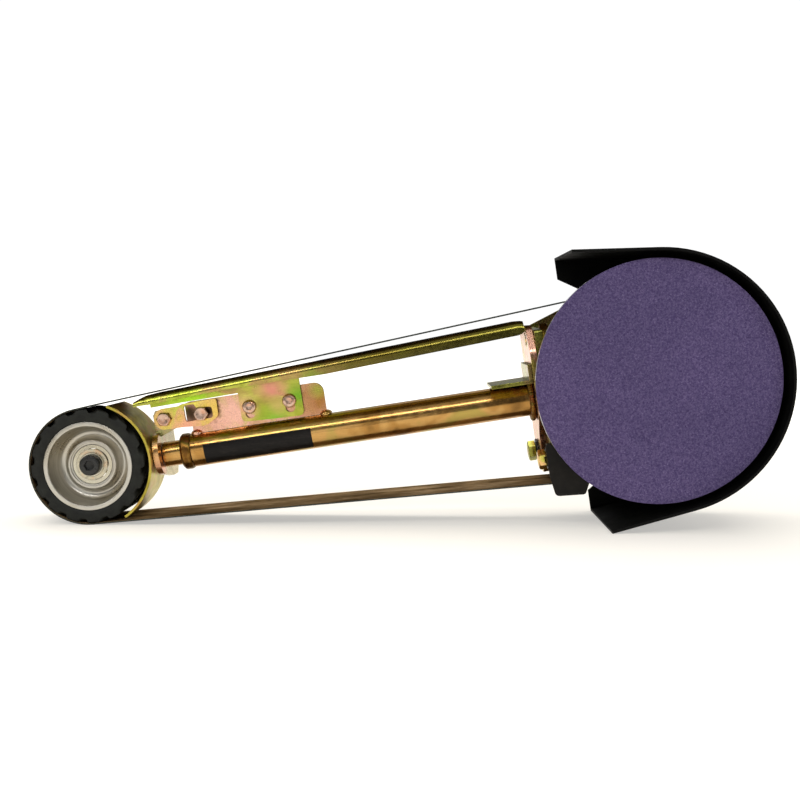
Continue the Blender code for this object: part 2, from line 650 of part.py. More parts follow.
def make_axle(looks, carriage):
    """Axle bolt and the stack on it, from the near side to the far side."""
    def at(depth):
        return Vector((-WHEEL_SPACING, depth, 0))

    bore = M10_HOLE
    socket_screw("axle_bolt", at(-0.0215), ALONG_Y, 0.0080, 0.0060, 0.0050, 0.0650,
                 looks["black_steel"], carriage, dome=0.86, sides=24)
    washer("axle_lock_washer", at(-0.0152), 0.0093, 0.0016, bore, looks["pale_zinc"], carriage)
    washer("axle_washer", at(-0.0133), 0.0120, 0.0015, bore, looks["gold_zinc"], carriage)
    for name, centre in (("inner_race_near", -0.0070), ("inner_race_far", 0.0070)):
        rings = [
            (bore, -RACE_HALF_WIDTH), (0.0086, -RACE_HALF_WIDTH),
            (0.0086, RACE_HALF_WIDTH), (bore, RACE_HALF_WIDTH),
        ]
        turned(name, rings, at(centre), ALONG_Y, looks["aluminium"], carriage, hollow=True)
    washer("bearing_spacer", at(-0.0022), 0.0080, 0.0044, bore, looks["pale_zinc"], carriage)
    spacer = SIDE_ARM_DEPTH[0] - GAP - 0.0118
    washer("axle_spacer", at(0.0118), 0.0084, spacer, bore, looks["pale_zinc"], carriage)
    hex_nut("axle_nut", at(SIDE_ARM_DEPTH[1] + GAP), ALONG_Y, 0.0160, 0.0070, bore,
            looks["gold_zinc"], carriage)


def hub_profile():
    near = [
        (0.0153, -0.0022), (0.0153, -0.0118), (0.0169, -0.0118), (0.0169, -0.0132), (0.0188, -0.0132),
        (0.0193, -0.0080), (0.0215, -0.0052), (0.0250, -0.0044), (0.0280, -0.0065), (0.0292, -0.0120),
        (0.0302, -0.0246), (HUB_RADIUS, -0.0246),
    ]
    far = [(radius, -depth) for radius, depth in reversed(near)]
    return near + far + [(0.0125, 0.0022), (0.0125, -0.0022)]


def tyre_radius(angle):
    """Tread radius at an angle, with a notch at the start of each pitch."""
    pitch = 2 * math.pi / TYRE_NOTCHES
    phase = (angle % pitch) / pitch
    past_floor = NOTCH_FLOOR + NOTCH_WALL
    if phase < NOTCH_WALL:
        return TYRE_RADIUS - NOTCH_DEPTH * phase / NOTCH_WALL
    if phase < NOTCH_FLOOR:
        return TYRE_RADIUS - NOTCH_DEPTH
    if phase < past_floor:
        return TYRE_RADIUS - NOTCH_DEPTH * (past_floor - phase) / NOTCH_WALL
    return TYRE_RADIUS


def make_tyre(looks, contact):
    """Rubber tread with slanted notches across its face."""
    past_floor = NOTCH_FLOOR + NOTCH_WALL
    phases = (0.0, NOTCH_WALL, 0.21, NOTCH_FLOOR, past_floor, 0.57, 0.71, 0.86)
    pitch = 2 * math.pi / TYRE_NOTCHES
    angles = [pitch * (notch + phase) for notch in range(TYRE_NOTCHES) for phase in phases]
    layers = 6
    bore = HUB_RADIUS + GAP
    bm = bmesh.new()
    loops = []
    for layer in range(layers + 1):
        depth = -WHEEL_HALF_WIDTH + 2 * WHEEL_HALF_WIDTH * layer / layers
        turn = NOTCH_SLANT * layer / layers
        rim = [(tyre_radius(a), a + turn) for a in angles]
        loops.append([bm.verts.new((radius * math.cos(a), depth, radius * math.sin(a))) for radius, a in rim])
    for depth in (WHEEL_HALF_WIDTH, -WHEEL_HALF_WIDTH):
        loops.append([bm.verts.new((bore * math.cos(a), depth, bore * math.sin(a))) for a in angles])
    count = len(angles)
    for first, second in zip(loops, loops[1:] + loops[:1]):
        for index in range(count):
            after = (index + 1) % count
            bm.faces.new((first[index], first[after], second[after], second[index]))
    add_object("contact_tyre", bm, looks["rubber"], contact)


def make_contact_wheel(looks, contact):
    turned("contact_hub", hub_profile(), Vector(), ALONG_Y, looks["aluminium"], contact,
           hollow=True, sides=48)
    make_tyre(looks, contact)
    for name, centre in (("outer_race_near", -0.0070), ("outer_race_far", 0.0070)):
        rings = [
            (0.0123, -RACE_HALF_WIDTH), (0.0150, -RACE_HALF_WIDTH),
            (0.0150, RACE_HALF_WIDTH), (0.0123, RACE_HALF_WIDTH),
        ]
        turned(name, rings, Vector((0, centre, 0)), ALONG_Y, looks["aluminium"], contact, hollow=True)


def latch_shape(points):
    """Latch points given as (reach, level) along the arm, turned into places round its pivot."""
    return [(PIVOT_REACH - reach, level - LATCH_LEVEL) for reach, level in points]


def make_latch(looks, bodies):
    """Release link on the carriage's pivot; its stepped slot rides on the fixed stud."""
    nose = arc((0, 0), 0.0082, 100, 258, 14)
    corners = latch_shape([
        (0.3560, 0.0172), (0.3380, 0.0158), (0.3275, 0.0215), (0.3270, 0.0354),
        (0.3545, 0.0348), (0.3570, 0.0336),
    ])
    body = rounded_run([nose[-1], *corners, nose[0]], 0.0028)
    link = prism("latch_link", nose + body, SHEET_DEPTH, looks["gold_zinc"], bodies["latch"])
    slot = rounded(latch_shape([
        (0.3315, 0.0211), (0.3315, 0.0298), (0.3436, 0.0302), (0.3446, 0.0335),
        (0.3530, 0.0335), (0.3530, 0.0208),
    ]), 0.0024)
    cut(link, prism("latch_slot", slot, (-0.01, 0.0), None, bodies["latch"]))
    cut(link, drill(Vector((0, -0.01, 0)), ALONG_Y, M6_HOLE, 0.02, bodies["latch"]))

    head = 0.0040
    head_top = SHEET_DEPTH[0] - GAP - head
    spots = {
        "latch_pivot_bolt": (PIVOT_REACH, LATCH_LEVEL, "carriage", 0.0018),
        "latch_stud": (STUD_REACH, LATCH_LEVEL, "frame", WEB_DEPTH[1]),
    }
    for name, (reach, level, body, back) in spots.items():
        length = back - SHEET_DEPTH[0] + GAP + 0.0048
        hex_bolt(name, Vector((-reach, head_top, level)), ALONG_Y, SMALL_HEX_FLATS, head, 0.0030, length,
                 looks["pale_zinc"], bodies[body])
        nut = Vector((-reach, back + GAP, level))
        hex_nut(name + "_nut", nut, ALONG_Y, SMALL_HEX_FLATS, SMALL_NUT_HEIGHT, M6_HOLE,
                looks["pale_zinc"], bodies[body])


def platen_top(reach):
    """Top of the platen above the arm's centre line, with the turned-down nose at its outer end."""
    slope = 0.0450
    level = 0.0494 + slope * (0.2990 - reach)
    nose = max(0.0, (reach - PLATEN_REACH[1] + PLATEN_NOSE) / PLATEN_NOSE)
    return level - 0.0035 * nose ** 1.4


def platen_section(reach):
    """Closed channel section (y, z): outer face from one edge to the other, then the inner face."""
    start, end = PLATEN_REACH
    squared = max(0.0, 1 - (reach - start) / 0.005) ** 2
    nose = max(0.0, (reach - end + PLATEN_NOSE) / PLATEN_NOSE) ** 1.2
    widened = min(1.0, max(0.0, (0.3150 - reach) / 0.0750))
    top = platen_top(reach) - 0.0010 * squared
    height = 0.0073 + 0.0034 * widened - 0.0030 * squared - 0.0040 * nose
    half, sheet = WHEEL_HALF_WIDTH, 0.0020
    bend = min(0.0066, height - 0.0008)
    skirt = top - height
    outer = [(-half, skirt)] + arc((-half + bend, top - bend), bend, 180, 90, 6)
    inner = [(-half + sheet, skirt)] + arc((-half + bend, top - bend), bend - sheet, 180, 90, 6)
    full_outer = outer + [(-y, z) for y, z in reversed(outer)]
    full_inner = inner + [(-y, z) for y, z in reversed(inner)]
    return full_outer + list(reversed(full_inner))


def make_platen(looks, platen):
    """Backing channel with rounded shoulders, a strip along its middle and a slotted tab below."""
    start, end = PLATEN_REACH
    reaches = [start, start + 0.002, start + 0.005, 0.2400, 0.3150]
    reaches += [end - PLATEN_NOSE * (1 - step / 5) for step in range(6)]
    bm = bmesh.new()
    loops = []
    for reach in reaches:
        loops.append([bm.verts.new((-reach, y, z)) for y, z in platen_section(reach)])
    bm.faces.new(loops[0])
    bm.faces.new(loops[-1])
    count = len(loops[0])
    for first, second in zip(loops, loops[1:]):
        for index in range(count):
            after = (index + 1) % count
            bm.faces.new((first[index], first[after], second[after], second[index]))
    channel = add_object("platen", bm, looks["olive_zinc"], platen)

    inner, outer, strip_end = 0.2620, 0.3100, 0.3780
    tops = [(-reach, platen_top(reach) - 0.0010) for reach in (strip_end, outer, inner)]
    strip = [(-outer, 0.0366), (-strip_end, 0.0356)]
    lower = [(-outer, 0.0172), (-outer + 0.0012, 0.0148), (-outer + 0.0040, 0.0140)]
    lower += [(-inner - 0.0040, 0.0124), (-inner - 0.0012, 0.0132), (-inner, 0.0158)]
    outline = [tops[0], strip[1], strip[0]] + lower + [tops[2], tops[1]]
    weld(channel, prism("platen_tab", outline, SHEET_DEPTH, None, platen))
    for reach in PLATEN_SCREW_REACH:
        slot = capsule((-reach, SCREW_LEVEL - 0.0052), (-reach, SCREW_LEVEL + 0.0012), 0.0038)
        cut(channel, prism("platen_slot", slot, (-0.01, 0.0), None, platen))


def make_platen_screws(looks, frame):
    head = 0.0032
    head_top = SHEET_DEPTH[0] - GAP - head
    for name, reach in zip(("inner", "outer"), PLATEN_SCREW_REACH):
        at = Vector((-reach, head_top, SCREW_LEVEL))
        socket_screw("platen_screw_" + name, at, ALONG_Y, M10_HOLE, head, 0.0030, 0.0118,
                     looks["pale_zinc"], frame, dome=0.6, sides=24)
        at = Vector((-reach, WEB_DEPTH[1] + GAP, SCREW_LEVEL))
        hex_nut("platen_nut_" + name, at, ALONG_Y, SMALL_HEX_FLATS, SMALL_NUT_HEIGHT, M6_HOLE,
                looks["pale_zinc"], frame)


def main():
    clear_scene()
    looks = make_materials()
    bodies = make_bodies()
    frame = bodies["frame"]
    make_belt(looks, bodies)
    make_tube(looks, frame)
    make_label(looks, frame)
    make_tube_weld(looks, frame)
    make_web(looks, frame)
    make_end_plate(looks, frame)
    make_mount_bracket(looks, frame)
    make_arm_bolts(looks, frame)
    make_side_guard(looks, frame)
    make_guard(looks, frame)
    make_drive(looks, bodies["drive"])
    make_adaptor(looks, bodies["adaptor"])
    make_spring(looks, frame)
    make_carriage(looks, bodies["carriage"])
    make_axle(looks, bodies["carriage"])
    make_contact_wheel(looks, bodies["contact"])
    make_latch(looks, bodies)
    make_platen(looks, bodies["platen"])
    make_platen_screws(looks, frame)


main()
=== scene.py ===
import json
import math
import bmesh
import bpy
from mathutils import Matrix, Vector


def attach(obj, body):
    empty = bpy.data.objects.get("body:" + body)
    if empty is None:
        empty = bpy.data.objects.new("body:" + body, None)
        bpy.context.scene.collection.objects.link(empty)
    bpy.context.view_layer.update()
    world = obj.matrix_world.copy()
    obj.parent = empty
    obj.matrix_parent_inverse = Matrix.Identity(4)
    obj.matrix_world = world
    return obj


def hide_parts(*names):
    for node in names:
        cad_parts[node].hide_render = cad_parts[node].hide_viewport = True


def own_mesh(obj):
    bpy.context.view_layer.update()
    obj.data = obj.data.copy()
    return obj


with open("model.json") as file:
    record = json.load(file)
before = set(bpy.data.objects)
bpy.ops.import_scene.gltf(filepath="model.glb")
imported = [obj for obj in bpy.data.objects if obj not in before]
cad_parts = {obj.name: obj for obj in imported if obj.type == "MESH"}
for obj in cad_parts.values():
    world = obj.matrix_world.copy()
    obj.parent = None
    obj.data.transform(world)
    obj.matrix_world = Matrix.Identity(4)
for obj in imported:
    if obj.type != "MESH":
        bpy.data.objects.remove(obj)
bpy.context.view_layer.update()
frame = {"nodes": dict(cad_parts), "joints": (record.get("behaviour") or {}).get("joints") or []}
nodes = frame["nodes"]

# The arm's own frame: local -X runs to the contact wheel, local Z is up from the arm
jointSpots = {j["name"]: Vector(j["pos_m"]) for j in frame["joints"] if j.get("pos_m")}
driveAxle = jointSpots["drive_spin"]
contactAxle = jointSpots["contact_spin"]
wheelSpacing = (contactAxle - driveAxle).length
armTilt = math.asin((driveAxle.z - contactAxle.z) / wheelSpacing)
armFrame = Matrix.Translation(driveAxle) @ Matrix.Rotation(-armTilt, 4, "Y")
contactFrame = Matrix.Translation(contactAxle) @ Matrix.Rotation(-armTilt, 4, "Y")


camera = {
    "fromAxle": (-0.1735, -0.8485, 0.0387),
    "pitch": -0.0650,
    "turn": 0.0170,
    "lens": 49.85,
}
camData = bpy.data.cameras.new("camera")
camData.lens = camera["lens"]
camData.sensor_width = 36
camData.clip_start = 0.01
cam = bpy.data.objects.new("camera", camData)
cam.location = driveAxle + Vector(camera["fromAxle"])
cam.rotation_euler = (math.pi / 2 + camera["pitch"], 0, camera["turn"])
bpy.context.scene.collection.objects.link(cam)
bpy.context.scene.camera = cam
bpy.context.scene.view_settings.view_transform = "Standard"

studio = {
    "floorHalf": (5.0, 4.2, 0.75),
    "floorColour": (0.575, 0.54, 0.47),
    "floorGlow": (0.46, 1.15),
    "skyTop": 0.95,
    "skyBand": 0.30,
    "skyBack": 0.22,
    "lamps": {
        # name: (place, aim, width, height, watts)
        "topBox": ((0.00, 0.30, 1.25), (0, 0, 0.05), 1.7, 0.8, 12.0),
        "leftBox": ((-1.10, -0.80, 0.85), (-0.1, 0, 0.08), 0.5, 0.8, 5.0),
        "rightStrip": ((1.10, -0.70, 0.60), (0.1, 0, 0.10), 0.20, 0.9, 2.5),
        "frontStrip": ((-0.10, -1.15, 1.05), (-0.05, 0, 0.10), 1.5, 0.14, 6.0),
        "lowBox": ((-0.40, -1.70, 0.20), (-0.15, 0, 0.08), 0.62, 0.50, 1.25),
    },
}


def addLamp(name, place, aim, width, height, watts):
    lamp = bpy.data.lights.new(name, "AREA")
    lamp.shape = "RECTANGLE"
    lamp.size, lamp.size_y, lamp.energy = width, height, watts
    obj = bpy.data.objects.new(name, lamp)
    obj.location = place
    obj.rotation_euler = (Vector(aim) - Vector(place)).to_track_quat("-Z", "Y").to_euler()
    bpy.context.scene.collection.objects.link(obj)


def smoothRange(tree, fromLow, fromHigh, low, high):
    made = tree.nodes.new("ShaderNodeMapRange")
    made.interpolation_type = "SMOOTHSTEP"
    for key, value in (("From Min", fromLow), ("From Max", fromHigh), ("To Min", low), ("To Max", high)):
        made.inputs[key].default_value = value
    return made


# White where the camera looks straight at it; a studio with a dark side behind the camera elsewhere
def makeWorld():
    world = bpy.data.worlds.new("studio")
    bpy.context.scene.world = world
    world.use_nodes = True
    tree = world.node_tree
    tree.nodes.clear()
    out = tree.nodes.new("ShaderNodeOutputWorld")
    path = tree.nodes.new("ShaderNodeLightPath")
    seen = tree.nodes.new("ShaderNodeBackground")
    seen.inputs["Color"].default_value = (1, 1, 1, 1)
    seen.inputs["Strength"].default_value = 1.05
    lit = tree.nodes.new("ShaderNodeBackground")
    coord = tree.nodes.new("ShaderNodeTexCoord")
    split = tree.nodes.new("ShaderNodeSeparateXYZ")
    rise = smoothRange(tree, 0.10, 0.75, studio["skyBand"], studio["skyTop"])
    back = smoothRange(tree, -0.95, 0.1, studio["skyBack"], 1.0)
    both = tree.nodes.new("ShaderNodeMath")
    both.operation = "MULTIPLY"
    shade = tree.nodes.new("ShaderNodeMixShader")
    link = tree.links.new
    link(coord.outputs["Generated"], split.inputs[0])
    link(split.outputs["Z"], rise.inputs["Value"])
    link(split.outputs["Y"], back.inputs["Value"])
    link(rise.outputs["Result"], both.inputs[0])
    link(back.outputs["Result"], both.inputs[1])
    link(both.outputs[0], lit.inputs["Strength"])
    link(path.outputs["Is Camera Ray"], shade.inputs["Fac"])
    link(lit.outputs[0], shade.inputs[1])
    link(seen.outputs[0], shade.inputs[2])
    link(shade.outputs[0], out.inputs["Surface"])


# Pale sweep: keeps soft contact shadows near the part and runs out to plain white
def makeFloor():
    wide, deep, front = studio["floorHalf"]
    mesh = bpy.data.meshes.new("floor")
    corners = [(-wide, -front, 0), (wide, -front, 0), (wide, deep, 0), (-wide, deep, 0)]
    mesh.from_pydata(corners, [], [(0, 1, 2, 3)])
    floor = bpy.data.objects.new("floor", mesh)
    bpy.context.scene.collection.objects.link(floor)
    material = bpy.data.materials.new("paleFloor")
    material.use_nodes = True
    tree = material.node_tree
    shader = tree.nodes["Principled BSDF"]
    shader.inputs["Base Color"].default_value = (*studio["floorColour"], 1)
    shader.inputs["Roughness"].default_value = 0.7
    shader.inputs["Specular IOR Level"].default_value = 0.1
    shader.inputs["Emission Color"].default_value = (1.0, 0.985, 0.955, 1)
    coord = tree.nodes.new("ShaderNodeTexCoord")
    spread = tree.nodes.new("ShaderNodeVectorMath")
    spread.operation = "LENGTH"
    glow = smoothRange(tree, 0.30, 1.6, *studio["floorGlow"])
    tree.links.new(coord.outputs["Object"], spread.inputs[0])
    tree.links.new(spread.outputs["Value"], glow.inputs["Value"])
    tree.links.new(glow.outputs["Result"], shader.inputs["Emission Strength"])
    mesh.materials.append(material)


makeWorld()
makeFloor()
for name, values in studio["lamps"].items():
    addLamp(name, *values)
print("camera and studio ready")


# Small helper that strings procedural nodes together on Object coordinates
class Shader:
    def __init__(self, name, colour=(0.5, 0.5, 0.5), roughness=0.5, metallic=0.0):
        self.material = bpy.data.materials.new(name)
        self.material.use_nodes = True
        self.tree = self.material.node_tree
        self.bsdf = self.tree.nodes["Principled BSDF"]
        self.bsdf.inputs["Base Color"].default_value = (*colour, 1)
        self.bsdf.inputs["Roughness"].default_value = roughness
        self.bsdf.inputs["Metallic"].default_value = metallic
        self.material.diffuse_color = (*colour, 1)
        self.place = self.tree.nodes.new("ShaderNodeTexCoord").outputs["Object"]

    def node(self, kind, **settings):
        made = self.tree.nodes.new(kind)
        for key, value in settings.items():
            setattr(made, key, value)
        return made

    def link(self, source, target):
        self.tree.links.new(source, target)

    def mapped(self, move=(0, 0, 0), turn=(0, 0, 0), stretch=(1, 1, 1)):
        mapping = self.node("ShaderNodeMapping")
        for key, value in (("Location", move), ("Rotation", turn), ("Scale", stretch)):
            mapping.inputs[key].default_value = value
        self.link(self.place, mapping.inputs["Vector"])
        return mapping.outputs["Vector"]

    def noise(self, scale, detail=3.0, roughness=0.5, where=None, distortion=0.0):
        made = self.node("ShaderNodeTexNoise")
        for key, value in (("Scale", scale), ("Detail", detail), ("Roughness", roughness),
                           ("Distortion", distortion)):
            made.inputs[key].default_value = value
        self.link(where or self.place, made.inputs["Vector"])
        return made.outputs["Fac"]

    def ramp(self, factor, stops, smooth=True):
        made = self.node("ShaderNodeValToRGB")
        bar = made.color_ramp
        bar.interpolation = "EASE" if smooth else "LINEAR"
        while len(bar.elements) < len(stops):
            bar.elements.new(0.5)
        for element, (position, colour) in zip(bar.elements, stops):
            element.position = position
            element.color = (*colour, 1) if len(colour) == 3 else colour
        self.link(factor, made.inputs["Fac"])
        return made.outputs["Color"]

    def range(self, value, low, high, fromLow=0.0, fromHigh=1.0):
        made = self.node("ShaderNodeMapRange")
        for key, limit in (("From Min", fromLow), ("From Max", fromHigh), ("To Min", low), ("To Max", high)):
            made.inputs[key].default_value = limit
        self.link(value, made.inputs["Value"])
        return made.outputs["Result"]

    def math(self, operation, first, second=None):
        made = self.node("ShaderNodeMath", operation=operation)
        for socket, value in zip(made.inputs, (first, second)):
            if value is None:
                continue
            if isinstance(value, (int, float)):
                socket.default_value = value
            else:
                self.link(value, socket)
        return made.outputs[0]

    def mix(self, factor, first, second, blend="MIX"):
        made = self.node("ShaderNodeMix", data_type="RGBA", blend_type=blend)
        for key, value in (("Factor", factor), ("A", first), ("B", second)):
            socket = made.inputs[key]
            if isinstance(value, (int, float)):
                socket.default_value = value
            elif isinstance(value, tuple):
                socket.default_value = (*value, 1)
            else:
                self.link(value, socket)
        return made.outputs["Result"]

    def bump(self, height, strength, distance, after=None):
        made = self.node("ShaderNodeBump")
        made.inputs["Strength"].default_value = strength
        made.inputs["Distance"].default_value = distance
        self.link(height, made.inputs["Height"])
        if after is not None:
            self.link(after, made.inputs["Normal"])
        self.link(made.outputs["Normal"], self.bsdf.inputs["Normal"])
        return made.outputs["Normal"]

    def colour(self, socket):
        self.link(socket, self.bsdf.inputs["Base Color"])

    def rough(self, socket):
        self.link(socket, self.bsdf.inputs["Roughness"])

    # White along convex edges, from the mesh's pointiness
    def edges(self, low=0.50, high=0.58):
        made = self.node("ShaderNodeNewGeometry")
        return self.range(made.outputs["Pointiness"], 0.0, 1.0, low, high)


zincTones = {
    # name: (five tones along the colour play, patch scale, roughness low and high)
    "gold": (
        ((0.30, 0.13, 0.02), (0.50, 0.25, 0.04), (0.62, 0.36, 0.07), (0.50, 0.36, 0.06), (0.60, 0.24, 0.09)),
        26, 0.15, 0.26),
    "tube": (
        ((0.22, 0.11, 0.030), (0.42, 0.22, 0.060), (0.54, 0.31, 0.100), (0.42, 0.31, 0.080),
         (0.54, 0.23, 0.10)),
        20, 0.17, 0.27),
    "olive": (
        ((0.14, 0.13, 0.03), (0.26, 0.25, 0.05), (0.36, 0.35, 0.07), (0.32, 0.22, 0.09), (0.27, 0.31, 0.06)),
        30, 0.20, 0.34),
    "shield": (
        ((0.22, 0.17, 0.03), (0.38, 0.31, 0.05), (0.50, 0.42, 0.07), (0.52, 0.34, 0.09), (0.50, 0.50, 0.07)),
        30, 0.28, 0.42),
    "khaki": (
        ((0.30, 0.24, 0.12), (0.44, 0.36, 0.17), (0.52, 0.44, 0.22), (0.50, 0.34, 0.19), (0.38, 0.36, 0.15)),
        30, 0.20, 0.34),
    "bright": (
        ((0.24, 0.20, 0.03), (0.40, 0.42, 0.05), (0.50, 0.50, 0.08), (0.46, 0.30, 0.10), (0.34, 0.46, 0.06)),
        24, 0.17, 0.28),
    "pink": (
        ((0.42, 0.22, 0.08), (0.66, 0.38, 0.22), (0.74, 0.40, 0.29), (0.54, 0.44, 0.12), (0.70, 0.33, 0.24)),
        30, 0.20, 0.32),
    "yellow": (
        ((0.52, 0.30, 0.05), (0.70, 0.52, 0.09), (0.76, 0.46, 0.20), (0.60, 0.58, 0.10), (0.76, 0.38, 0.22)),
        36, 0.18, 0.30),
    "brown": (
        ((0.07, 0.032, 0.008), (0.16, 0.072, 0.016), (0.26, 0.13, 0.025), (0.14, 0.10, 0.02),
         (0.22, 0.075, 0.025)),
        55, 0.24, 0.40),
}


# Yellow passivate over rolled steel; wash adds soft local tints of (spot in the arm's frame, radius, tone),
# both zinc colour play and painted shade
def zincMaterial(name, key, wash=()):
    tones, scale, roughLow, roughHigh = zincTones[key]
    shader = Shader("zinc" + name, tones[2], roughLow, 1.0)
    drift = shader.noise(scale, 2.0, 0.5, distortion=1.0)
    cloud = shader.noise(scale * 5, 3.0, 0.55)
    blend = shader.mix(0.16, drift, cloud)
    stops = list(zip((0.30, 0.42, 0.50, 0.58, 0.70), tones))
    base = shader.ramp(blend, stops)
    for spot, radius, tone in wash:
        centre = armFrame @ Vector(spot)
        away = shader.node("ShaderNodeVectorMath", operation="DISTANCE")
        shader.link(shader.place, away.inputs[0])
        away.inputs[1].default_value = centre
        near = shader.range(away.outputs["Value"], 1.0, 0.0, radius * 0.2, radius)
        near = shader.math("MULTIPLY", near, shader.range(drift, 0.45, 1.25, 0.3, 0.7))
        base = shader.mix(shader.math("MINIMUM", near, 1.0), base, tone)
    rolled = shader.noise(700, 2.0, 0.6, shader.mapped(turn=(0, armTilt, 0), stretch=(0.06, 1, 1)))
    flecks = shader.range(rolled, 0.95, 1.04, 0.3, 0.7)
    toned = shader.mix(1.0, base, flecks, "MULTIPLY")
    stains = shader.ramp(shader.noise(scale * 3.1, 5.0, 0.6), [(0.26, (0.70, 0.62, 0.50)), (0.42, (1, 1, 1))])
    toned = shader.mix(0.5, toned, shader.mix(1.0, toned, stains, "MULTIPLY"))
    rubbed = shader.math("MULTIPLY", shader.edges(0.53, 0.62), 0.04)
    shader.colour(shader.mix(rubbed, toned, (0.80, 0.76, 0.42)))
    shader.rough(shader.range(shader.noise(scale * 9, 4.0, 0.6), roughLow, roughHigh, 0.3, 0.7))
    shader.bump(shader.mix(0.35, rolled, cloud), 0.03, 0.0001)
    return shader.material


# Pale zinc on a stamped fastener
def palePlate(name, tint):
    shader = Shader(name, tint, 0.3, 1.0)
    warm = tuple(value * factor for value, factor in zip(tint, (1.08, 0.86, 0.74)))
    dark = tuple(value * 0.62 for value in tint)
    drift = shader.noise(150, 3.0, 0.6)
    shader.colour(shader.ramp(drift, [(0.30, dark), (0.48, tint), (0.66, warm)]))
    shader.rough(shader.range(shader.noise(500, 3.0), 0.22, 0.44, 0.3, 0.7))
    shader.bump(shader.noise(1400, 2.0), 0.14, 0.0001)
    return shader.material


# Lathe-cut aluminium: fine rings about an axle along Y, with drifting tool marks
def turnedAluminium(name, centre, tint=(0.74, 0.73, 0.71), pitch=0.00032, roughness=(0.20, 0.36)):
    shader = Shader(name, tint, roughness[0], 1.0)
    where = shader.mapped(move=(-centre.x, -centre.y, -centre.z))
    split = shader.node("ShaderNodeSeparateXYZ")
    shader.link(where, split.inputs[0])
    x, depth, z = split.outputs
    squares = shader.math("ADD", shader.math("MULTIPLY", x, x), shader.math("MULTIPLY", z, z))
    radius = shader.math("SQRT", squares)
    along = shader.math("ADD", radius, shader.math("MULTIPLY", depth, 0.7))
    cuts = shader.math("SINE", shader.math("MULTIPLY", along, 2 * math.pi / pitch))
    ringSpot = shader.node("ShaderNodeCombineXYZ")
    shader.link(along, ringSpot.inputs[0])
    bands = shader.noise(900, 2.0, 0.6, ringSpot.outputs[0])
    smudge = shader.noise(30, 3.0, 0.5)
    dark, light = (tuple(v * factor for v in tint) for factor in (0.78, 1.12))
    tone = shader.ramp(bands, [(0.30, dark), (0.55, tint), (0.75, light)])
    dull = shader.ramp(smudge, [(0.30, (0.80, 0.77, 0.72)), (0.55, (1, 1, 1))])
    shader.colour(shader.mix(1.0, tone, dull, "MULTIPLY"))
    shader.rough(shader.range(smudge, roughness[0], roughness[1], 0.35, 0.65))
    grooves = shader.mix(0.5, shader.range(cuts, 0, 1, -1, 1), bands)
    shader.bump(grooves, 0.12, 0.0001)
    return shader.material


# Powder coat with orange peel and slightly rubbed edges
def blackPaint(name, base=(0.0020, 0.0020, 0.0018), rough=(0.48, 0.64), gloss=0.07):
    shader = Shader(name, base, rough[0], 0.0)
    shader.bsdf.inputs["Specular IOR Level"].default_value = gloss
    dust = shader.noise(70, 5.0, 0.65)
    tone = shader.ramp(dust, [(0.35, base), (0.72, tuple(v * 2 for v in base))])
    rubbed = shader.math("MULTIPLY", shader.edges(0.51, 0.60), 0.35)
    shader.colour(shader.mix(rubbed, tone, (0.025, 0.025, 0.023)))
    shader.rough(shader.range(dust, rough[0], rough[1], 0.3, 0.7))
    peel = shader.noise(950, 3.0, 0.55)
    shader.bump(peel, 0.20, 0.00018)
    return shader.material


def blackRubber():
    shader = Shader("treadRubber", (0.009, 0.009, 0.007), 0.66)
    shader.bsdf.inputs["Specular IOR Level"].default_value = 0.24
    dust = shader.noise(120, 6.0, 0.7)
    worn = [(0.36, (0.006, 0.006, 0.005)), (0.60, (0.014, 0.015, 0.012)), (0.80, (0.040, 0.040, 0.034))]
    shader.colour(shader.ramp(dust, worn))
    shader.rough(shader.range(dust, 0.52, 0.78, 0.3, 0.7))
    shader.bump(shader.noise(1600, 4.0, 0.65), 0.22, 0.00015)
    return shader.material


# Closely packed grains on cloth: each cell has its own shade, some catch the light
def abrasiveGrain(name, deep, body, glint, scale, strength):
    shader = Shader(name, body, 0.78)
    shader.bsdf.inputs["Specular IOR Level"].default_value = 0.0
    cells = shader.node("ShaderNodeTexVoronoi")
    cells.inputs["Scale"].default_value = scale
    shader.link(shader.place, cells.inputs["Vector"])
    shades = shader.node("ShaderNodeSeparateColor")
    shader.link(cells.outputs["Color"], shades.inputs[0])
    stops = [(0.10, deep), (0.50, body), (0.86, body), (0.97, glint)]
    tone = shader.ramp(shades.outputs[0], stops, smooth=False)
    coarse = shader.noise(scale * 0.36, 4.0, 0.7)
    tone = shader.mix(0.42, tone, shader.ramp(coarse, [(0.38, deep), (0.62, glint)]))
    wash = shader.ramp(shader.noise(16, 3.0, 0.5), [(0.3, (0.90, 0.90, 0.92)), (0.7, (1.06, 1.04, 1.06))])
    shader.colour(shader.mix(1.0, tone, wash, "MULTIPLY"))
    shader.rough(shader.range(shades.outputs[1], 0.55, 0.95))
    height = shader.math("ADD", shader.math("MULTIPLY", cells.outputs["Distance"], 1.4), shades.outputs[2])
    shader.bump(height, strength, 0.00022)
    return shader.material


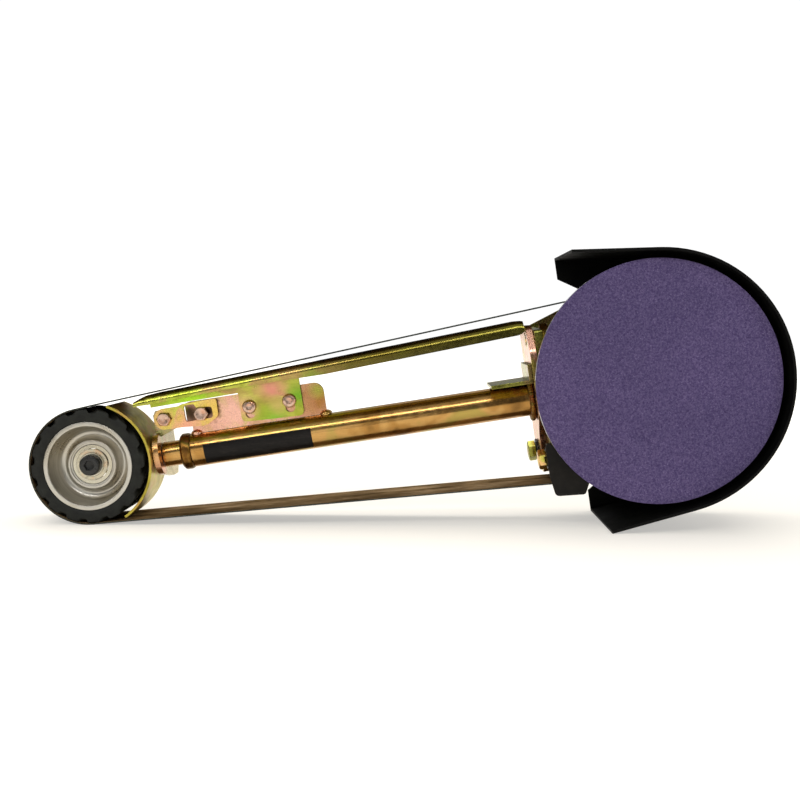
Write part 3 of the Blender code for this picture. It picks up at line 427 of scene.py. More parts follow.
# Brown cotton cloth of the belt's inside, woven along and across, rubbed in streaks
def beltBacking():
    shader = Shader("beltBacking", (0.24, 0.16, 0.11), 0.8)
    shader.bsdf.inputs["Specular IOR Level"].default_value = 0.0
    where = shader.mapped(turn=(0, armTilt, 0))
    split = shader.node("ShaderNodeSeparateXYZ")
    shader.link(where, split.inputs[0])
    pick = 2 * math.pi / 0.0009
    warp = shader.math("SINE", shader.math("MULTIPLY", split.outputs[1], pick))
    weft = shader.math("SINE", shader.math("MULTIPLY", split.outputs[0], pick))
    weave = shader.range(shader.math("MULTIPLY", warp, weft), 0, 1, -1, 1)
    streaks = shader.noise(90, 4.0, 0.65, shader.mapped(turn=(0, armTilt, 0), stretch=(0.22, 1, 0.22)))
    patches = shader.noise(34, 3.0, 0.5)
    stops = [(0.34, (0.075, 0.050, 0.022)), (0.50, (0.19, 0.130, 0.066)), (0.66, (0.35, 0.255, 0.145))]
    tone = shader.ramp(streaks, stops)
    faded = shader.ramp(patches, [(0.36, (0.78, 0.74, 0.70)), (0.60, (1.1, 1.05, 1.0))])
    tone = shader.mix(1.0, tone, faded, "MULTIPLY")
    shader.colour(shader.mix(0.22, tone, shader.mix(1.0, tone, weave, "MULTIPLY")))
    shader.rough(shader.range(streaks, 0.62, 0.86, 0.3, 0.7))
    shader.bump(weave, 0.3, 0.00012)
    return shader.material


def labelFilm():
    shader = Shader("labelFilm", (0.006, 0.005, 0.0045), 0.42)
    shader.bsdf.inputs["Specular IOR Level"].default_value = 0.16
    scuffs = shader.noise(380, 5.0, 0.7, shader.mapped(turn=(0, armTilt, 0), stretch=(0.25, 1, 1)))
    shader.colour(shader.ramp(scuffs, [(0.45, (0.006, 0.005, 0.0045)), (0.72, (0.016, 0.013, 0.012))]))
    shader.rough(shader.range(scuffs, 0.26, 0.46, 0.3, 0.7))
    shader.bump(scuffs, 0.08, 0.0001)
    return shader.material


# Painted shade tones: shadow inside the latch slot round the stud, and contact shadow along the latch link's
# right edge
paintedSlotShadow, paintedDeepSlotShadow, paintedLinkEdgeShadow = (0.05, 0.028, 0.010), (0.02, 0.011, 0.004), (0.10, 0.050, 0.020)
tintsAndPaintedShade = {
    # look: soft local tints of (spot in the arm's frame, radius, tone); zinc colour play, plus painted shade
    # in the web's latch slot, along the link's edge and on the platen's top
    "web": [((-0.253, 0, 0.022), 0.026, (0.44, 0.19, 0.05)), ((-0.318, 0, 0.022), 0.020, (0.90, 0.50, 0.38)),
            ((-0.333, 0, 0.0265), 0.0085, paintedSlotShadow), ((-0.3485, 0, 0.029), 0.0080, paintedSlotShadow),
            ((-0.3480, 0, 0.023), 0.0080, paintedSlotShadow), ((-0.3470, 0, 0.026), 0.0100, paintedDeepSlotShadow),
            ((-0.3350, 0, 0.0255), 0.0080, paintedDeepSlotShadow), ((-0.3268, 0, 0.0330), 0.0030, paintedLinkEdgeShadow),
            ((-0.3266, 0, 0.0290), 0.0030, paintedLinkEdgeShadow), ((-0.3266, 0, 0.0250), 0.0030, paintedLinkEdgeShadow),
            ((-0.3275, 0, 0.0212), 0.0032, paintedLinkEdgeShadow), ((-0.3310, 0, 0.0178), 0.0030, paintedLinkEdgeShadow),
            ((-0.2500, 0, 0.0300), 0.0090, (0.40, 0.42, 0.06))],
    "platen": [((-0.284, -0.004, 0.037), 0.016, (0.74, 0.27, 0.21)),
               ((-0.264, -0.004, 0.028), 0.012, (0.20, 0.42, 0.03)),
               ((-0.286, -0.004, 0.012), 0.015, (0.24, 0.46, 0.04)),
               ((-0.306, -0.004, 0.024), 0.013, (0.80, 0.42, 0.24)),
               ((-0.281, -0.004, 0.023), 0.009, (0.60, 0.44, 0.14)),
               ((-0.350, -0.004, 0.038), 0.030, (0.44, 0.72, 0.04)),
               # Painted shade: dark brown reflection of the belt's underside along the platen's top, towards
               # the drive end
               ((-0.150, -0.020, 0.048), 0.120, (0.15, 0.120, 0.025)),
               ((-0.190, -0.024, 0.045), 0.070, (0.17, 0.130, 0.022)),
               ((-0.120, -0.024, 0.050), 0.080, (0.20, 0.165, 0.030))],
    "bracket": [((-0.376, -0.016, 0.004), 0.016, (0.62, 0.34, 0.13)),
                ((-0.376, -0.012, -0.008), 0.012, (0.70, 0.34, 0.20))],
    "link": [((-0.330, -0.004, 0.028), 0.014, (0.88, 0.60, 0.12)),
             ((-0.352, -0.004, 0.018), 0.013, (0.86, 0.40, 0.26)),
             ((-0.345, -0.004, 0.034), 0.010, (0.80, 0.66, 0.12)),
             ((-0.369, -0.004, 0.025), 0.011, (0.78, 0.50, 0.14))],
}
plainZincs = ("gold", "tube", "olive", "shield", "pink", "yellow", "brown")
looks = {key: zincMaterial(key.capitalize(), key) for key in plainZincs}
looks["web"] = zincMaterial("Web", "pink", tintsAndPaintedShade["web"])
looks["platen"] = zincMaterial("Platen", "bright", tintsAndPaintedShade["platen"])
looks["link"] = zincMaterial("Link", "yellow", tintsAndPaintedShade["link"])
looks["bracket"] = zincMaterial("Bracket", "khaki", tintsAndPaintedShade["bracket"])
looks["pale"] = palePlate("paleZinc", (0.60, 0.55, 0.42))
looks["bronze"] = palePlate("rosyZinc", (0.66, 0.46, 0.36))
looks["hubMetal"] = turnedAluminium("hubMetal", contactAxle, tint=(0.57, 0.545, 0.485),
                                    roughness=(0.27, 0.38))
looks["wheelMetal"] = turnedAluminium("wheelMetal", driveAxle, tint=(0.68, 0.67, 0.65), pitch=0.0006)
looks["bearing"] = turnedAluminium("bearingSteel", contactAxle, tint=(0.55, 0.52, 0.42), pitch=0.0005,
                                   roughness=(0.12, 0.22))
looks["paint"] = blackPaint("blackPaint")
looks["sidePaint"] = blackPaint("sidePaint", (0.008, 0.007, 0.006), (0.40, 0.54), 0.13)
looks["blackOxide"] = blackPaint("blackOxide", (0.012, 0.012, 0.011), (0.24, 0.38), 0.4)
looks["rubber"] = blackRubber()
looks["discGrain"] = abrasiveGrain("discGrain", (0.056, 0.041, 0.106), (0.092, 0.068, 0.164),
                                   (0.18, 0.145, 0.28), 1900, 0.5)
looks["beltGrain"] = abrasiveGrain("beltGrain", (0.018, 0.022, 0.018), (0.045, 0.052, 0.044),
                                   (0.12, 0.13, 0.115), 2600, 0.4)
looks["backing"] = beltBacking()
looks["label"] = labelFilm()
print("materials ready:", len(looks))


keptNodes = {
    "drive_wheel": "wheelMetal", "disc_plate": "wheelMetal", "disc_screw_1": "blackOxide",
    "disc_screw_2": "blackOxide", "disc_screw_3": "blackOxide", "adaptor_plate": "wheelMetal",
    "swivel_retainer": "olive", "inner_race_near": "bearing", "inner_race_far": "bearing",
    "outer_race_near": "bearing", "outer_race_far": "bearing", "bearing_spacer": "pale",
}
for node, look in keptNodes.items():
    nodes[node].data.materials.clear()
    nodes[node].data.materials.append(looks[look])
print("kept nodes:", len(keptNodes))


# Put a finished mesh on its body in place of its CAD nodes
def addPiece(name, mesh, body, standsFor, materials):
    for material in materials:
        mesh.materials.append(material)
    piece = bpy.data.objects.new(name, mesh)
    bpy.context.scene.collection.objects.link(piece)
    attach(piece, body)
    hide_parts(*standsFor)
    return piece


def meshFrom(bm, name, place=None, sharp=34):
    if place is not None:
        bm.transform(place)
    mesh = bpy.data.meshes.new(name)
    bm.to_mesh(mesh)
    bm.free()
    mesh.shade_smooth()
    mesh.set_sharp_from_angle(angle=math.radians(sharp))
    return mesh


# Quads between each pair of matching rings
def bridge(bm, pairs):
    for lower, upper in pairs:
        for side in range(len(lower)):
            after = (side + 1) % len(lower)
            bm.faces.new((lower[side], lower[after], upper[after], upper[side]))


softEdges = {
    # node: (piece, body, edge radius, look)
    "guard": ("guardShell", "frame", 0.00050, "paint"),
    "side_guard": ("beltSideGuard", "frame", 0.00035, "sidePaint"),
    "mount_bracket": ("mountBracket", "frame", 0.00045, "olive"),
    "arm_end_plate": ("armEndPlate", "frame", 0.00045, "pink"),
    "angle_tab": ("angleTab", "frame", 0.00045, "olive"),
    "web_plate": ("webPlate", "frame", 0.00030, "web"),
    "rod_bush": ("rodBush", "frame", 0.00040, "brown"),
    "arm_tube": ("armTube", "frame", 0.00040, "tube"),
    "tube_label": ("tubeLabel", "frame", 0.00005, "label"),
    "tension_rod": ("tensionRod", "carriage", 0.00030, "tube"),
    "wheel_bracket": ("wheelBracket", "carriage", 0.00045, "bracket"),
    "wheel_shield": ("wheelShield", "carriage", 0.00040, "shield"),
    "axle_spacer": ("axleSpacer", "carriage", 0.00020, "pale"),
    "latch_link": ("latchLink", "latch", 0.00035, "link"),
    "platen": ("platenChannel", "platen", 0.00030, "platen"),
}


# A merged copy of a CAD node with its flat faces joined up and its sharp edges rounded
def softened(node, width, name):
    bm = bmesh.new()
    bm.from_mesh(nodes[node].data)
    bmesh.ops.remove_doubles(bm, verts=bm.verts, dist=0.000002)
    bmesh.ops.dissolve_limit(bm, angle_limit=math.radians(0.8), verts=bm.verts, edges=bm.edges)
    mesh = bpy.data.meshes.new(name)
    bm.to_mesh(mesh)
    bm.free()
    mesh.shade_smooth()
    rough = bpy.data.objects.new(name + "Rough", mesh)
    bpy.context.scene.collection.objects.link(rough)
    bevel = rough.modifiers.new("edge", "BEVEL")
    bevel.width = width
    bevel.segments = 3
    bevel.limit_method = "ANGLE"
    bevel.angle_limit = math.radians(40)
    weighted = rough.modifiers.new("flatFaces", "WEIGHTED_NORMAL")
    weighted.keep_sharp = True
    weighted.weight = 80
    evaluated = rough.evaluated_get(bpy.context.evaluated_depsgraph_get())
    done = bpy.data.meshes.new_from_object(evaluated)
    done.name = name
    done.materials.clear()
    bpy.data.objects.remove(rough)
    return done


for node, (piece, body, width, look) in softEdges.items():
    addPiece(piece, softened(node, width, piece), body, [node], [looks[look]])
print("softened pieces:", len(softEdges))


# Closed profile of (radius, depth) turned about Y
def lathe(profile, sides):
    bm = bmesh.new()
    loops = []
    for step in range(sides):
        angle = 2 * math.pi * step / sides
        loops.append([bm.verts.new((r * math.cos(angle), y, r * math.sin(angle))) for r, y in profile])
    bridge(bm, zip(loops, loops[1:] + loops[:1]))
    bmesh.ops.recalc_face_normals(bm, faces=bm.faces)
    return bm


# Round the corners of a closed outline; a corner given with a third value uses that radius
def eased(corners, radius, steps=4):
    points = []
    count = len(corners)
    for index, corner in enumerate(corners):
        here = Vector(corner[:2])
        back = Vector(corners[index - 1][:2]) - here
        ahead = Vector(corners[(index + 1) % count][:2]) - here
        size = corner[2] if len(corner) > 2 else radius
        trim = min(size, back.length * 0.45, ahead.length * 0.45)
        start, end = here + back.normalized() * trim, here + ahead.normalized() * trim
        for step in range(steps + 1):
            t = step / steps
            spot = start * (1 - t) ** 2 + here * (2 * t * (1 - t)) + end * t ** 2
            points.append((spot.x, spot.y))
    return points


hub = {
    "rim": 0.0335, "rimInner": 0.0303, "face": 0.0246, "boss": 0.0186, "bossFace": 0.0132,
    "counterbore": 0.0166, "bearingSeat": 0.0153, "seatDepth": 0.0022, "shoulder": 0.0125,
    "counterFloor": 0.0118, "sides": 192,
}


# Turned hub: flat bright rim, coned dish and a stepped boss round each bearing
def makeHub():
    near = [
        (hub["bearingSeat"], -hub["seatDepth"], 0.0001), (hub["bearingSeat"], -hub["counterFloor"], 0.0002),
        (hub["counterbore"], -hub["counterFloor"], 0.0002), (hub["counterbore"], -hub["bossFace"], 0.0003),
        (hub["boss"], -hub["bossFace"], 0.0010), (0.0193, -0.0080, 0.0030), (0.0222, -0.0046, 0.0040),
        (0.0268, -0.0062, 0.0040), (0.0288, -0.0130, 0.0050), (0.0298, -0.0220, 0.0012),
        (hub["rimInner"], -hub["face"], 0.0005), (hub["rim"], -hub["face"], 0.0004),
    ]
    far = [(r, -y, e) for r, y, e in reversed(near)]
    inner = [(hub["shoulder"], hub["seatDepth"], 0.0002), (hub["shoulder"], -hub["seatDepth"], 0.0002)]
    bm = lathe(eased(near + far + inner, 0.0004, 5), hub["sides"])
    addPiece("contactHub", meshFrom(bm, "contactHub", contactFrame, 24), "contact_wheel", ["contact_hub"],
             [looks["hubMetal"]])


tread = {
    "radius": 0.0430, "bore": 0.0336, "halfWidth": 0.0250, "notches": 16, "notchDepth": 0.0026,
    "notchShare": 0.42, "slant": math.radians(52), "shoulder": 0.0007, "skin": 0.0012,
    "lip": (0.0046, 0.0050),
    "layers": 22, "sides": 352,
}


# Strings geometry nodes together; plain numbers become socket values
class Geo:
    def __init__(self, name, values):
        self.tree = bpy.data.node_groups.new(name, "GeometryNodeTree")
        self.tree.interface.new_socket("Geometry", in_out="OUTPUT", socket_type="NodeSocketGeometry")
        self.values = {}
        for key, value in values.items():
            kind = "NodeSocketInt" if isinstance(value, int) else "NodeSocketFloat"
            socket = self.tree.interface.new_socket(key, in_out="INPUT", socket_type=kind)
            self.values[socket.identifier] = value
        self.start, self.end = (self.tree.nodes.new("NodeGroup" + side) for side in ("Input", "Output"))

    def node(self, kind, inputs=None, **settings):
        made = self.tree.nodes.new(kind)
        for key, value in settings.items():
            setattr(made, key, value)
        for key, value in (inputs or {}).items():
            if isinstance(value, bpy.types.NodeSocket):
                self.tree.links.new(value, made.inputs[key])
            else:
                made.inputs[key].default_value = value
        return made

    def math(self, operation, first, second=0.0, third=0.0):
        return self.node("ShaderNodeMath", {0: first, 1: second, 2: third}, operation=operation).outputs[0]

    # Realise, give the material, run the tree once and return a plain mesh
    def finish(self, geometry, material, name):
        real = self.node("GeometryNodeRealizeInstances", {0: geometry})
        painted = self.node("GeometryNodeSetMaterial", {"Geometry": real.outputs[0], "Material": material})
        self.tree.links.new(painted.outputs[0], self.end.inputs[0])
        host = bpy.data.objects.new(name, bpy.data.meshes.new(name))
        bpy.context.scene.collection.objects.link(host)
        modifier = host.modifiers.new("nodes", "NODES")
        modifier.node_group = self.tree
        for identifier, value in self.values.items():
            modifier[identifier] = value
        evaluated = host.evaluated_get(bpy.context.evaluated_depsgraph_get())
        mesh = bpy.data.meshes.new_from_object(evaluated)
        mesh.name = name
        bpy.data.objects.remove(host)
        return mesh


# A finely divided ring whose outer wall is pressed in along slanted notches
def makeTread():
    geo = Geo("slantedTread", {
        "Notches": float(tread["notches"]), "Notch Depth": tread["notchDepth"],
        "Notch Share": tread["notchShare"], "Slant": tread["slant"], "Half Width": tread["halfWidth"],
        "Radius": tread["radius"],
    })
    given = geo.start.outputs
    ring = bpy.data.objects.new("treadBlank", treadBlank())
    bpy.context.scene.collection.objects.link(ring)
    blank = geo.node("GeometryNodeObjectInfo", {"Object": ring})
    spot = geo.node("GeometryNodeInputPosition").outputs[0]
    split = geo.node("ShaderNodeSeparateXYZ", {0: spot})
    x, y, z = split.outputs
    angle = geo.math("ARCTAN2", z, x)
    halfSlant = geo.math("MULTIPLY", given["Slant"], 0.5)
    twist = geo.math("MULTIPLY", geo.math("DIVIDE", y, given["Half Width"]), halfSlant)
    turns = geo.math("DIVIDE", geo.math("SUBTRACT", angle, twist), 2 * math.pi)
    # whole turns added first, so that the fraction is taken of a positive number
    counted = geo.math("ADD", geo.math("MULTIPLY", turns, given["Notches"]), 64.0)
    phase = geo.math("FRACT", counted)
    # distance from the notch's middle, 0 in the middle and 1 at its wall
    away = geo.math("DIVIDE", geo.math("ABSOLUTE", geo.math("SUBTRACT", phase, 0.5)),
                    geo.math("MULTIPLY", given["Notch Share"], 0.5))
    wall = geo.node("ShaderNodeMapRange",
                    {"Value": away, "From Min": 1.16, "From Max": 0.80, "To Min": 0.0, "To Max": 1.0},
                    interpolation_type="SMOOTHSTEP").outputs[0]
    radius = geo.math("SQRT", geo.math("ADD", geo.math("MULTIPLY", x, x), geo.math("MULTIPLY", z, z)))
    outer = geo.math("GREATER_THAN", radius, geo.math("SUBTRACT", given["Radius"], tread["skin"]))
    pressed = geo.math("MULTIPLY", geo.math("MULTIPLY", wall, outer), given["Notch Depth"])
    scale = geo.math("DIVIDE", geo.math("SUBTRACT", radius, pressed), radius)
    moved = geo.node("ShaderNodeCombineXYZ",
                     {0: geo.math("MULTIPLY", x, scale), 1: y, 2: geo.math("MULTIPLY", z, scale)})
    placed = geo.node("GeometryNodeSetPosition",
                      {"Geometry": blank.outputs["Geometry"], "Position": moved.outputs[0]})
    mesh = geo.finish(placed.outputs[0], looks["rubber"], "contactTread")
    bpy.data.objects.remove(ring)
    mesh.transform(contactFrame)
    mesh.materials.clear()
    mesh.shade_smooth()
    mesh.set_sharp_from_angle(angle=math.radians(50))
    addPiece("contactTread", mesh, "contact_wheel", ["contact_tyre"], [looks["rubber"]])


def treadBlank():
    half, outer, bore, edge = tread["halfWidth"], tread["radius"], tread["bore"], tread["shoulder"]
    layers = tread["layers"]
    lipOuter, lipInner = (outer - depth for depth in tread["lip"])
    profile = [(bore, -half + edge), (bore + edge, -half), (lipInner, -half), (lipOuter, -half)]
    profile += [(outer - edge, -half), (outer, -half + edge)]
    profile += [(outer, -half + edge + (2 * half - 2 * edge) * step / layers) for step in range(1, layers)]
    profile += [(outer, half - edge), (outer - edge, half), (lipOuter, half), (lipInner, half)]
    profile += [(bore + edge, half), (bore, half - edge)]
    return meshFrom(lathe(profile, tread["sides"]), "treadBlank")


makeHub()
makeTread()
print("contact wheel ready")


belt = {
    "driveRadius": 0.0710, "contactRadius": 0.0443, "thickness": 0.0010, "halfWidth": 0.0254,
    "arcSteps": 96, "runSteps": 60,
}


def beltPath(inset):
    drive, contact = belt["driveRadius"] - inset, belt["contactRadius"] - inset
    lean = math.asin((drive - contact) / wheelSpacing)
    spots = []
    for centre, radius, start, end in (
        (0.0, drive, math.pi / 2 + lean, -math.pi / 2 - lean),
        (-wheelSpacing, contact, -math.pi / 2 - lean, -3 * math.pi / 2 + lean),
    ):
        for step in range(belt["arcSteps"] + 1):
            angle = start + (end - start) * step / belt["arcSteps"]
            spots.append((centre + radius * math.cos(angle), radius * math.sin(angle)))
        # straight run to the next wheel, divided so that the weave and shading stay even
        nextCentre, nextRadius = (-wheelSpacing, contact) if centre == 0.0 else (0.0, drive)
        target = (nextCentre + nextRadius * math.cos(end), nextRadius * math.sin(end))
        last = spots[-1]
        for step in range(1, belt["runSteps"]):
            t = step / belt["runSteps"]
            spots.append((last[0] + (target[0] - last[0]) * t, last[1] + (target[1] - last[1]) * t))
    return spots


def makeBelt():
    half, thick = belt["halfWidth"], belt["thickness"]
    rounding = 0.00015
    section = [
        (rounding, -half, 0), (0.0, -half + rounding, 0), (0.0, half - rounding, 0), (rounding, half, 0),
        (thick - rounding, half, 0), (thick, half - rounding, 1), (thick, -half + rounding, 1),
        (thick - rounding, -half, 0),
    ]
    paths = [beltPath(inset) for inset, _, _ in section]
    bm = bmesh.new()
    rings = [[bm.verts.new((x, depth, z)) for x, z in path] for path, (_, depth, _) in zip(paths, section)]
    count = len(paths[0])
    for index in range(count):
        after = (index + 1) % count
        for side in range(len(section)):
            nextSide = (side + 1) % len(section)
            here, there = rings[side], rings[nextSide]
            face = bm.faces.new((here[index], here[after], there[after], there[index]))
            face.material_index = 1 if section[side][2] == 1 and section[nextSide][2] == 1 else 0
    bmesh.ops.recalc_face_normals(bm, faces=bm.faces)
    addPiece("abrasiveBelt", meshFrom(bm, "abrasiveBelt", armFrame, 40), "frame", ["abrasive_belt"],
             [looks["beltGrain"], looks["backing"]])


makeBelt()


disc = {"radius": 0.0890, "near": 0.0477, "back": 0.0468, "edge": 0.00012, "sides": 220}


# Cloth-backed disc: a crisp rim, and a slightly raised grain face
def makeDisc():
    radius, near, back, edge = disc["radius"], -disc["near"], -disc["back"], disc["edge"]
    bm = bmesh.new()
    rings = [(0.0, back), (radius - edge, back), (radius, back - edge), (radius, near + edge * 2),
             (radius - edge, near)]
    rings += [(radius * share, near) for share in (0.85, 0.55, 0.25)] + [(0.0, near)]
    sides = disc["sides"]
    loops = []
    for r, y in rings:
        if r == 0.0:
            loops.append([bm.verts.new((0, y, 0))])
            continue
        angles = [2 * math.pi * side / sides for side in range(sides)]
        loops.append([bm.verts.new((r * math.cos(angle), y, r * math.sin(angle))) for angle in angles])
    for first, second in zip(loops, loops[1:]):
        for side in range(sides):
            after = (side + 1) % sides
            corners = [first[side % len(first)], first[after % len(first)]]
            corners += [second[after % len(second)], second[side % len(second)]]
            bm.faces.new(list(dict.fromkeys(corners)))
    bmesh.ops.recalc_face_normals(bm, faces=bm.faces)
    addPiece("sandingDisc", meshFrom(bm, "sandingDisc", armFrame), "drive", ["sanding_disc"],
             [looks["discGrain"]])


makeDisc()
print("belt and disc ready")


def armSpot(reach, depth, level):
    return armFrame @ Vector((-reach, depth, level))


# Rings of (radius, height, hex or not) stacked from origin in the direction along
def turnedOn(rings, origin, along, sides, name, closed=False, sharp=30):
    turn = Matrix.Translation(origin) @ Vector((0, 0, 1)).rotation_difference(along).to_matrix().to_4x4()
    bm = bmesh.new()
    loops = []
    for radius, height, *share in rings:
        hexShare = share[0] if share else 0.0
        loop = []
        for side in range(sides):
            angle = 2 * math.pi * side / sides
            stretch = 1 / math.cos(angle % (math.pi / 3) - math.pi / 6)
            reach = radius * (1 + (stretch - 1) * hexShare)
            spot = Vector((reach * math.cos(angle), reach * math.sin(angle), height))
            loop.append(bm.verts.new(turn @ spot))
        loops.append(loop)
    pairs = list(zip(loops, loops[1:]))
    if closed:
        pairs.append((loops[-1], loops[0]))
    else:
        bm.faces.new(loops[0])
        bm.faces.new(loops[-1])
    bridge(bm, pairs)
    bmesh.ops.recalc_face_normals(bm, faces=bm.faces)
    return meshFrom(bm, name, None, sharp)


# Ring stations for the exposed thread at a bolt's end
def threaded(shank, start, end, pitch=0.0010, depth=0.00030):
    rings = []
    height = start
    while height < end - pitch:
        rings += [(shank, height), (shank - depth, height + pitch * 0.5)]
        height += pitch
    return rings + [(shank, height), (shank - depth, end)]


# Hex head with a chamfered, slightly dished top, washer face and threaded shank
def hexHead(flats, head, shank, length, threadFrom=0.5):
    half = flats / 2
    rings = [
        (half * 0.45, head * 0.10, 0.0), (half * 0.60, head * 0.05, 0.0), (half * 0.80, head * 0.015, 0.0),
        (half * 0.90, 0.0, 0.0), (half * 0.955, head * 0.03, 0.3), (half * 0.985, head * 0.10, 0.8),
        (half, head * 0.17, 1.0), (half, head * 0.55, 1.0), (half, head * 0.90, 1.0),
        (half * 0.985, head * 0.94, 0.8), (half * 0.95, head * 0.955, 0.0), (half * 0.94, head, 0.0),
        (shank, head, 0.0),
    ]
    return rings + threaded(shank, head + length * threadFrom, head + length)


def hexNutRings(flats, height, bore):
    half = flats / 2
    near = [(bore, 0.0002), (bore + 0.0003, 0), (half * 0.90, 0), (half * 0.96, height * 0.06, 0.4),
            (half, height * 0.16, 1.0)]
    far = [(r[0], height - r[1]) + tuple(r[2:]) for r in reversed(near)]
    return near + far


# Button or cap head with a hexagonal recess, rounded shoulder and threaded shank
def socketHead(radius, head, shank, length, dome):
    recess = radius * 0.42
    rings = [
        (recess * 0.55, head * 0.62, 0.6), (recess, head * 0.56, 1.0), (recess, head * 0.06, 1.0),
        (recess * 1.1, 0, 0.8),
        (radius * dome * 0.92, 0), (radius * dome, head * 0.02),
    ]
    for step in range(1, 7):
        t = step / 6
        wide = radius * (dome + (1 - dome) * math.sin(t * math.pi / 2))
        rings.append((wide, head * (0.02 + 0.60 * (1 - math.cos(t * math.pi / 2)))))
    rings += [(radius, head * 0.90), (radius * 0.97, head), (shank, head)]
    return rings + threaded(shank, head + length * 0.3, head + length)


# Shared depths, levels and sizes of the fasteners
sheetNear, webFar, gap = -0.0053, 0.0020, 0.0003
screwLevel, latchLevel = 0.0250, 0.0254
pivotReach, studReach = 0.3689, 0.3400
platenScrewReaches = (0.2718, 0.3028)
smallNut = (0.0098, 0.0042, 0.0033, "pale")
platenScrew = (0.0053, 0.0032, 0.0030, 0.0118, 0.55, "bronze")
hexBolts = {
    # piece: (node, body, origin, along the arm or across it, flats, head, shank, length, look)
    "armBoltUpper": ("arm_bolt_upper", "frame", armSpot(0.0687, -0.004, 0.0440), "out", 0.0165, 0.0070,
                     0.0050, 0.0118, "gold"),
    "armBoltLower": ("arm_bolt_lower", "frame", armSpot(0.0954, 0.020, -0.0440), "in", 0.0135, 0.0062, 0.0040,
                     0.0220, "olive"),
    "sideGuardBolt": ("side_guard_bolt", "frame", armSpot(0.0920, -0.018, -0.0470), "in", 0.0130, 0.0060,
                      0.0030, 0.0140, "yellow"),
    "latchPivotBolt": ("latch_pivot_bolt", "carriage",
                       armSpot(pivotReach, sheetNear - gap - 0.0040, latchLevel), "across",
                       0.0098, 0.0040, 0.0030, 0.0122, "bronze"),
    "latchStud": ("latch_stud", "frame", armSpot(studReach, sheetNear - gap - 0.0040, latchLevel), "across",
                  0.0098, 0.0040, 0.0030, 0.0124, "bronze"),
}
hexNuts = {
    # piece: (node, body, origin, direction, flats, height, bore, look)
    "armNutLower": ("arm_nut_lower", "frame", armSpot(0.0757, 0.020, -0.0440), "in", 0.0135, 0.0060, 0.0043,
                    "pale"),
    "latchPivotNut": ("latch_pivot_bolt_nut", "carriage", armSpot(pivotReach, 0.0018 + gap, latchLevel),
                      "across", *smallNut),
    "latchStudNut": ("latch_stud_nut", "frame", armSpot(studReach, webFar + gap, latchLevel), "across",
                     *smallNut),
    "axleNut": ("axle_nut", "carriage", armSpot(wheelSpacing, 0.0420 + gap, 0), "across", 0.0160, 0.0070,
                0.0053, "gold"),
}
socketScrews = {
    # piece: (node, body, origin, direction, radius, head, shank, length, flat share, look)
    "axleBolt": ("axle_bolt", "carriage", armSpot(wheelSpacing, -0.0215, 0), "across",
                 0.0080, 0.0060, 0.0050, 0.0650, 0.84, "blackOxide"),
}
for end, reach in zip(("inner", "outer"), platenScrewReaches):
    hexNuts["platenNut" + end.capitalize()] = (
        "platen_nut_" + end, "frame", armSpot(reach, webFar + gap, screwLevel), "across", *smallNut)
    socketScrews["platenScrew" + end.capitalize()] = (
        "platen_screw_" + end, "frame", armSpot(reach, sheetNear - gap - 0.0032, screwLevel), "across",
        *platenScrew)
guardScrewSpots = ((0.0480, 0.0455), (0.0480, -0.0455), (-0.0500, 0.0380), (-0.0500, -0.0380))
for number, (reach, level) in enumerate(guardScrewSpots, 1):
    socketScrews["guardScrew%d" % number] = (
        "guard_screw_%d" % number, "frame", armSpot(reach, 0.0468 + gap + 0.0024, level), "back",
        0.0040, 0.0024, 0.0020, 0.0055, 0.6, "blackOxide")
for number in range(3):
    around = math.radians(97 + 120 * number)
    headTop = 0.0406 - 0.0031 - gap - 0.0026
    spot = armSpot(-0.0330 * math.cos(around), headTop, 0.0330 * math.sin(around))
    socketScrews["retainerScrew%d" % (number + 1)] = (
        "retainer_screw_%d" % (number + 1), "adaptor", spot, "across", 0.0036, 0.0026, 0.0020, 0.0125, 0.7,
        "blackOxide")

inward = armFrame.to_3x3() @ Vector((1, 0, 0))
directions = {"in": inward, "out": -inward, "across": Vector((0, 1, 0)), "back": Vector((0, -1, 0))}


def addTurned(name, node, body, origin, way, rings, look, sides=48, **shape):
    mesh = turnedOn(rings, origin, directions[way], sides, name, **shape)
    addPiece(name, mesh, body, [node], [looks[look]])


def makeFasteners():
    for name, (node, body, origin, way, *sizes, look) in hexBolts.items():
        addTurned(name, node, body, origin, way, hexHead(*sizes), look)
    for name, (node, body, origin, way, *sizes, look) in hexNuts.items():
        addTurned(name, node, body, origin, way, hexNutRings(*sizes), look, closed=True)
    for name, (node, body, origin, way, *sizes, look) in socketScrews.items():
        addTurned(name, node, body, origin, way, socketHead(*sizes), look)


washers = {
    # piece: (node, body, near face, direction, radius, thickness, bore, look)
    "axleWasher": ("axle_washer", "carriage", armSpot(wheelSpacing, -0.0133, 0), "across", 0.0120, 0.0015,
                   0.0053, "pale"),
    "axleLockWasher": ("axle_lock_washer", "carriage", armSpot(wheelSpacing, -0.0152, 0), "across", 0.0093,
                       0.0016, 0.0053, "bearing"),
    "armBoltWasher": ("arm_bolt_washer", "frame", armSpot(0.0889, 0.020, -0.0440), "in", 0.0088, 0.0016,
                      0.0043, "blackOxide"),
    "sideGuardWasher": ("side_guard_washer", "frame", armSpot(0.0857, -0.018, -0.0470), "in", 0.0078, 0.0016,
                        0.0033, "blackOxide"),
}


def makeWashers():
    edge = 0.0003
    for name, (node, body, origin, way, radius, thick, bore, look) in washers.items():
        rings = [(bore, edge), (bore + edge, 0), (radius - edge, 0), (radius, edge)]
        rings += [(radius, thick - edge), (radius - edge, thick), (bore + edge, thick), (bore, thick - edge)]
        addTurned(name, node, body, origin, way, rings, look, 64, closed=True, sharp=40)


makeFasteners()
makeWashers()
print("fasteners ready:", len(hexBolts) + len(hexNuts) + len(socketScrews) + len(washers))


tubeWeld = {"radius": 0.01455, "reach": 0.0893, "level": -0.0020, "bead": 0.0023, "ripples": 38,
            "opening": 82.0}


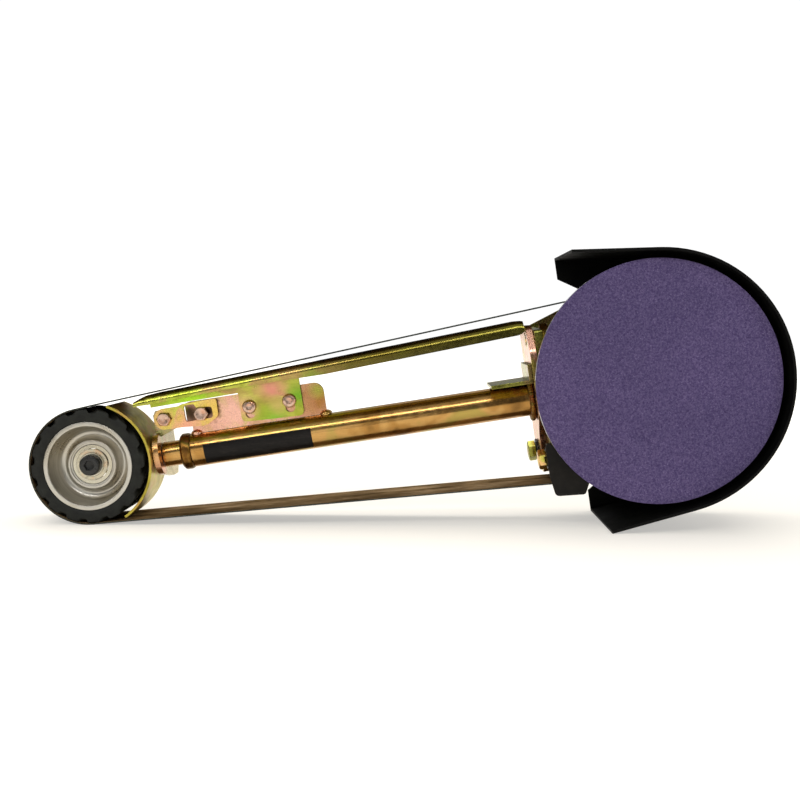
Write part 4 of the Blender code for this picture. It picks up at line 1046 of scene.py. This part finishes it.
# Overlapping ripples laid round the tube, with a gap under the angle tab
def makeTubeWeld():
    half = math.radians(tubeWeld["opening"]) / 2
    geo = Geo("weldRipples", {
        "Radius": tubeWeld["radius"], "Bead": tubeWeld["bead"], "Ripples": tubeWeld["ripples"],
        "Start": half, "Sweep": 2 * math.pi - 2 * half, "Seed": 3,
    })
    given = geo.start.outputs
    arc = {"Resolution": 96, "Radius": given["Radius"], "Start Angle": given["Start"],
           "Sweep Angle": given["Sweep"]}
    path = geo.node("GeometryNodeCurveArc", arc, mode="RADIUS")
    spots = geo.node("GeometryNodeCurveToPoints", {"Curve": path.outputs[0], "Count": given["Ripples"]},
                     mode="COUNT")
    ripple = geo.node("GeometryNodeMeshUVSphere", {"Segments": 16, "Rings": 10, "Radius": given["Bead"]})
    flat = geo.node("GeometryNodeTransform", {"Geometry": ripple.outputs[0], "Scale": (1.0, 0.95, 0.72)})
    size = geo.node("FunctionNodeRandomValue", {"Min": 0.90, "Max": 1.08, "Seed": given["Seed"]},
                    data_type="FLOAT")
    sizeOut = next(socket for socket in size.outputs if socket.enabled)
    beads = {"Points": spots.outputs["Points"], "Instance": flat.outputs[0],
             "Rotation": spots.outputs["Rotation"], "Scale": sizeOut}
    laid = geo.node("GeometryNodeInstanceOnPoints", beads)
    mesh = geo.finish(laid.outputs[0], looks["brown"], "tubeEndWeld")
    # the arc lies flat with its opening at +X; stand it round the tube with the opening on top
    stand = Matrix(((0, 0, -1, -tubeWeld["reach"]), (0, 1, 0, 0), (1, 0, 0, tubeWeld["level"]), (0, 0, 0, 1)))
    mesh.transform(armFrame @ stand)
    mesh.materials.clear()
    mesh.shade_smooth()
    addPiece("tubeEndWeld", mesh, "frame", ["tube_end_weld"], [looks["brown"]])


makeTubeWeld()
print("weld ready")


spring = {"start": 0.0890, "end": 0.2135, "level": -0.0020, "radius": 0.0074, "wire": 0.00095, "turns": 12,
          "stepsPerTurn": 32, "wireSides": 12}


# Round wire coil running towards the end plate
def makeSpring():
    length = spring["end"] - spring["start"]
    count = spring["turns"] * spring["stepsPerTurn"]
    bm = bmesh.new()
    loops = []
    for step in range(count + 1):
        angle = 2 * math.pi * step / spring["stepsPerTurn"]
        middle = Vector((-(spring["start"] + length * step / count), spring["radius"] * math.cos(angle),
                         spring["level"] + spring["radius"] * math.sin(angle)))
        outward = Vector((0, math.cos(angle), math.sin(angle)))
        loop = []
        for side in range(spring["wireSides"]):
            turn = 2 * math.pi * side / spring["wireSides"]
            spot = middle + spring["wire"] * (math.cos(turn) * outward + math.sin(turn) * Vector((1, 0, 0)))
            loop.append(bm.verts.new(armFrame @ spot))
        loops.append(loop)
    bm.faces.new(loops[0])
    bm.faces.new(loops[-1])
    bridge(bm, zip(loops, loops[1:]))
    bmesh.ops.recalc_face_normals(bm, faces=bm.faces)
    piece = addPiece("tensionSpring", meshFrom(bm, "tensionSpring"), "frame", ["tension_spring"],
                     [looks["blackOxide"]])
    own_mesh(piece)


makeSpring()
print("spring ready")
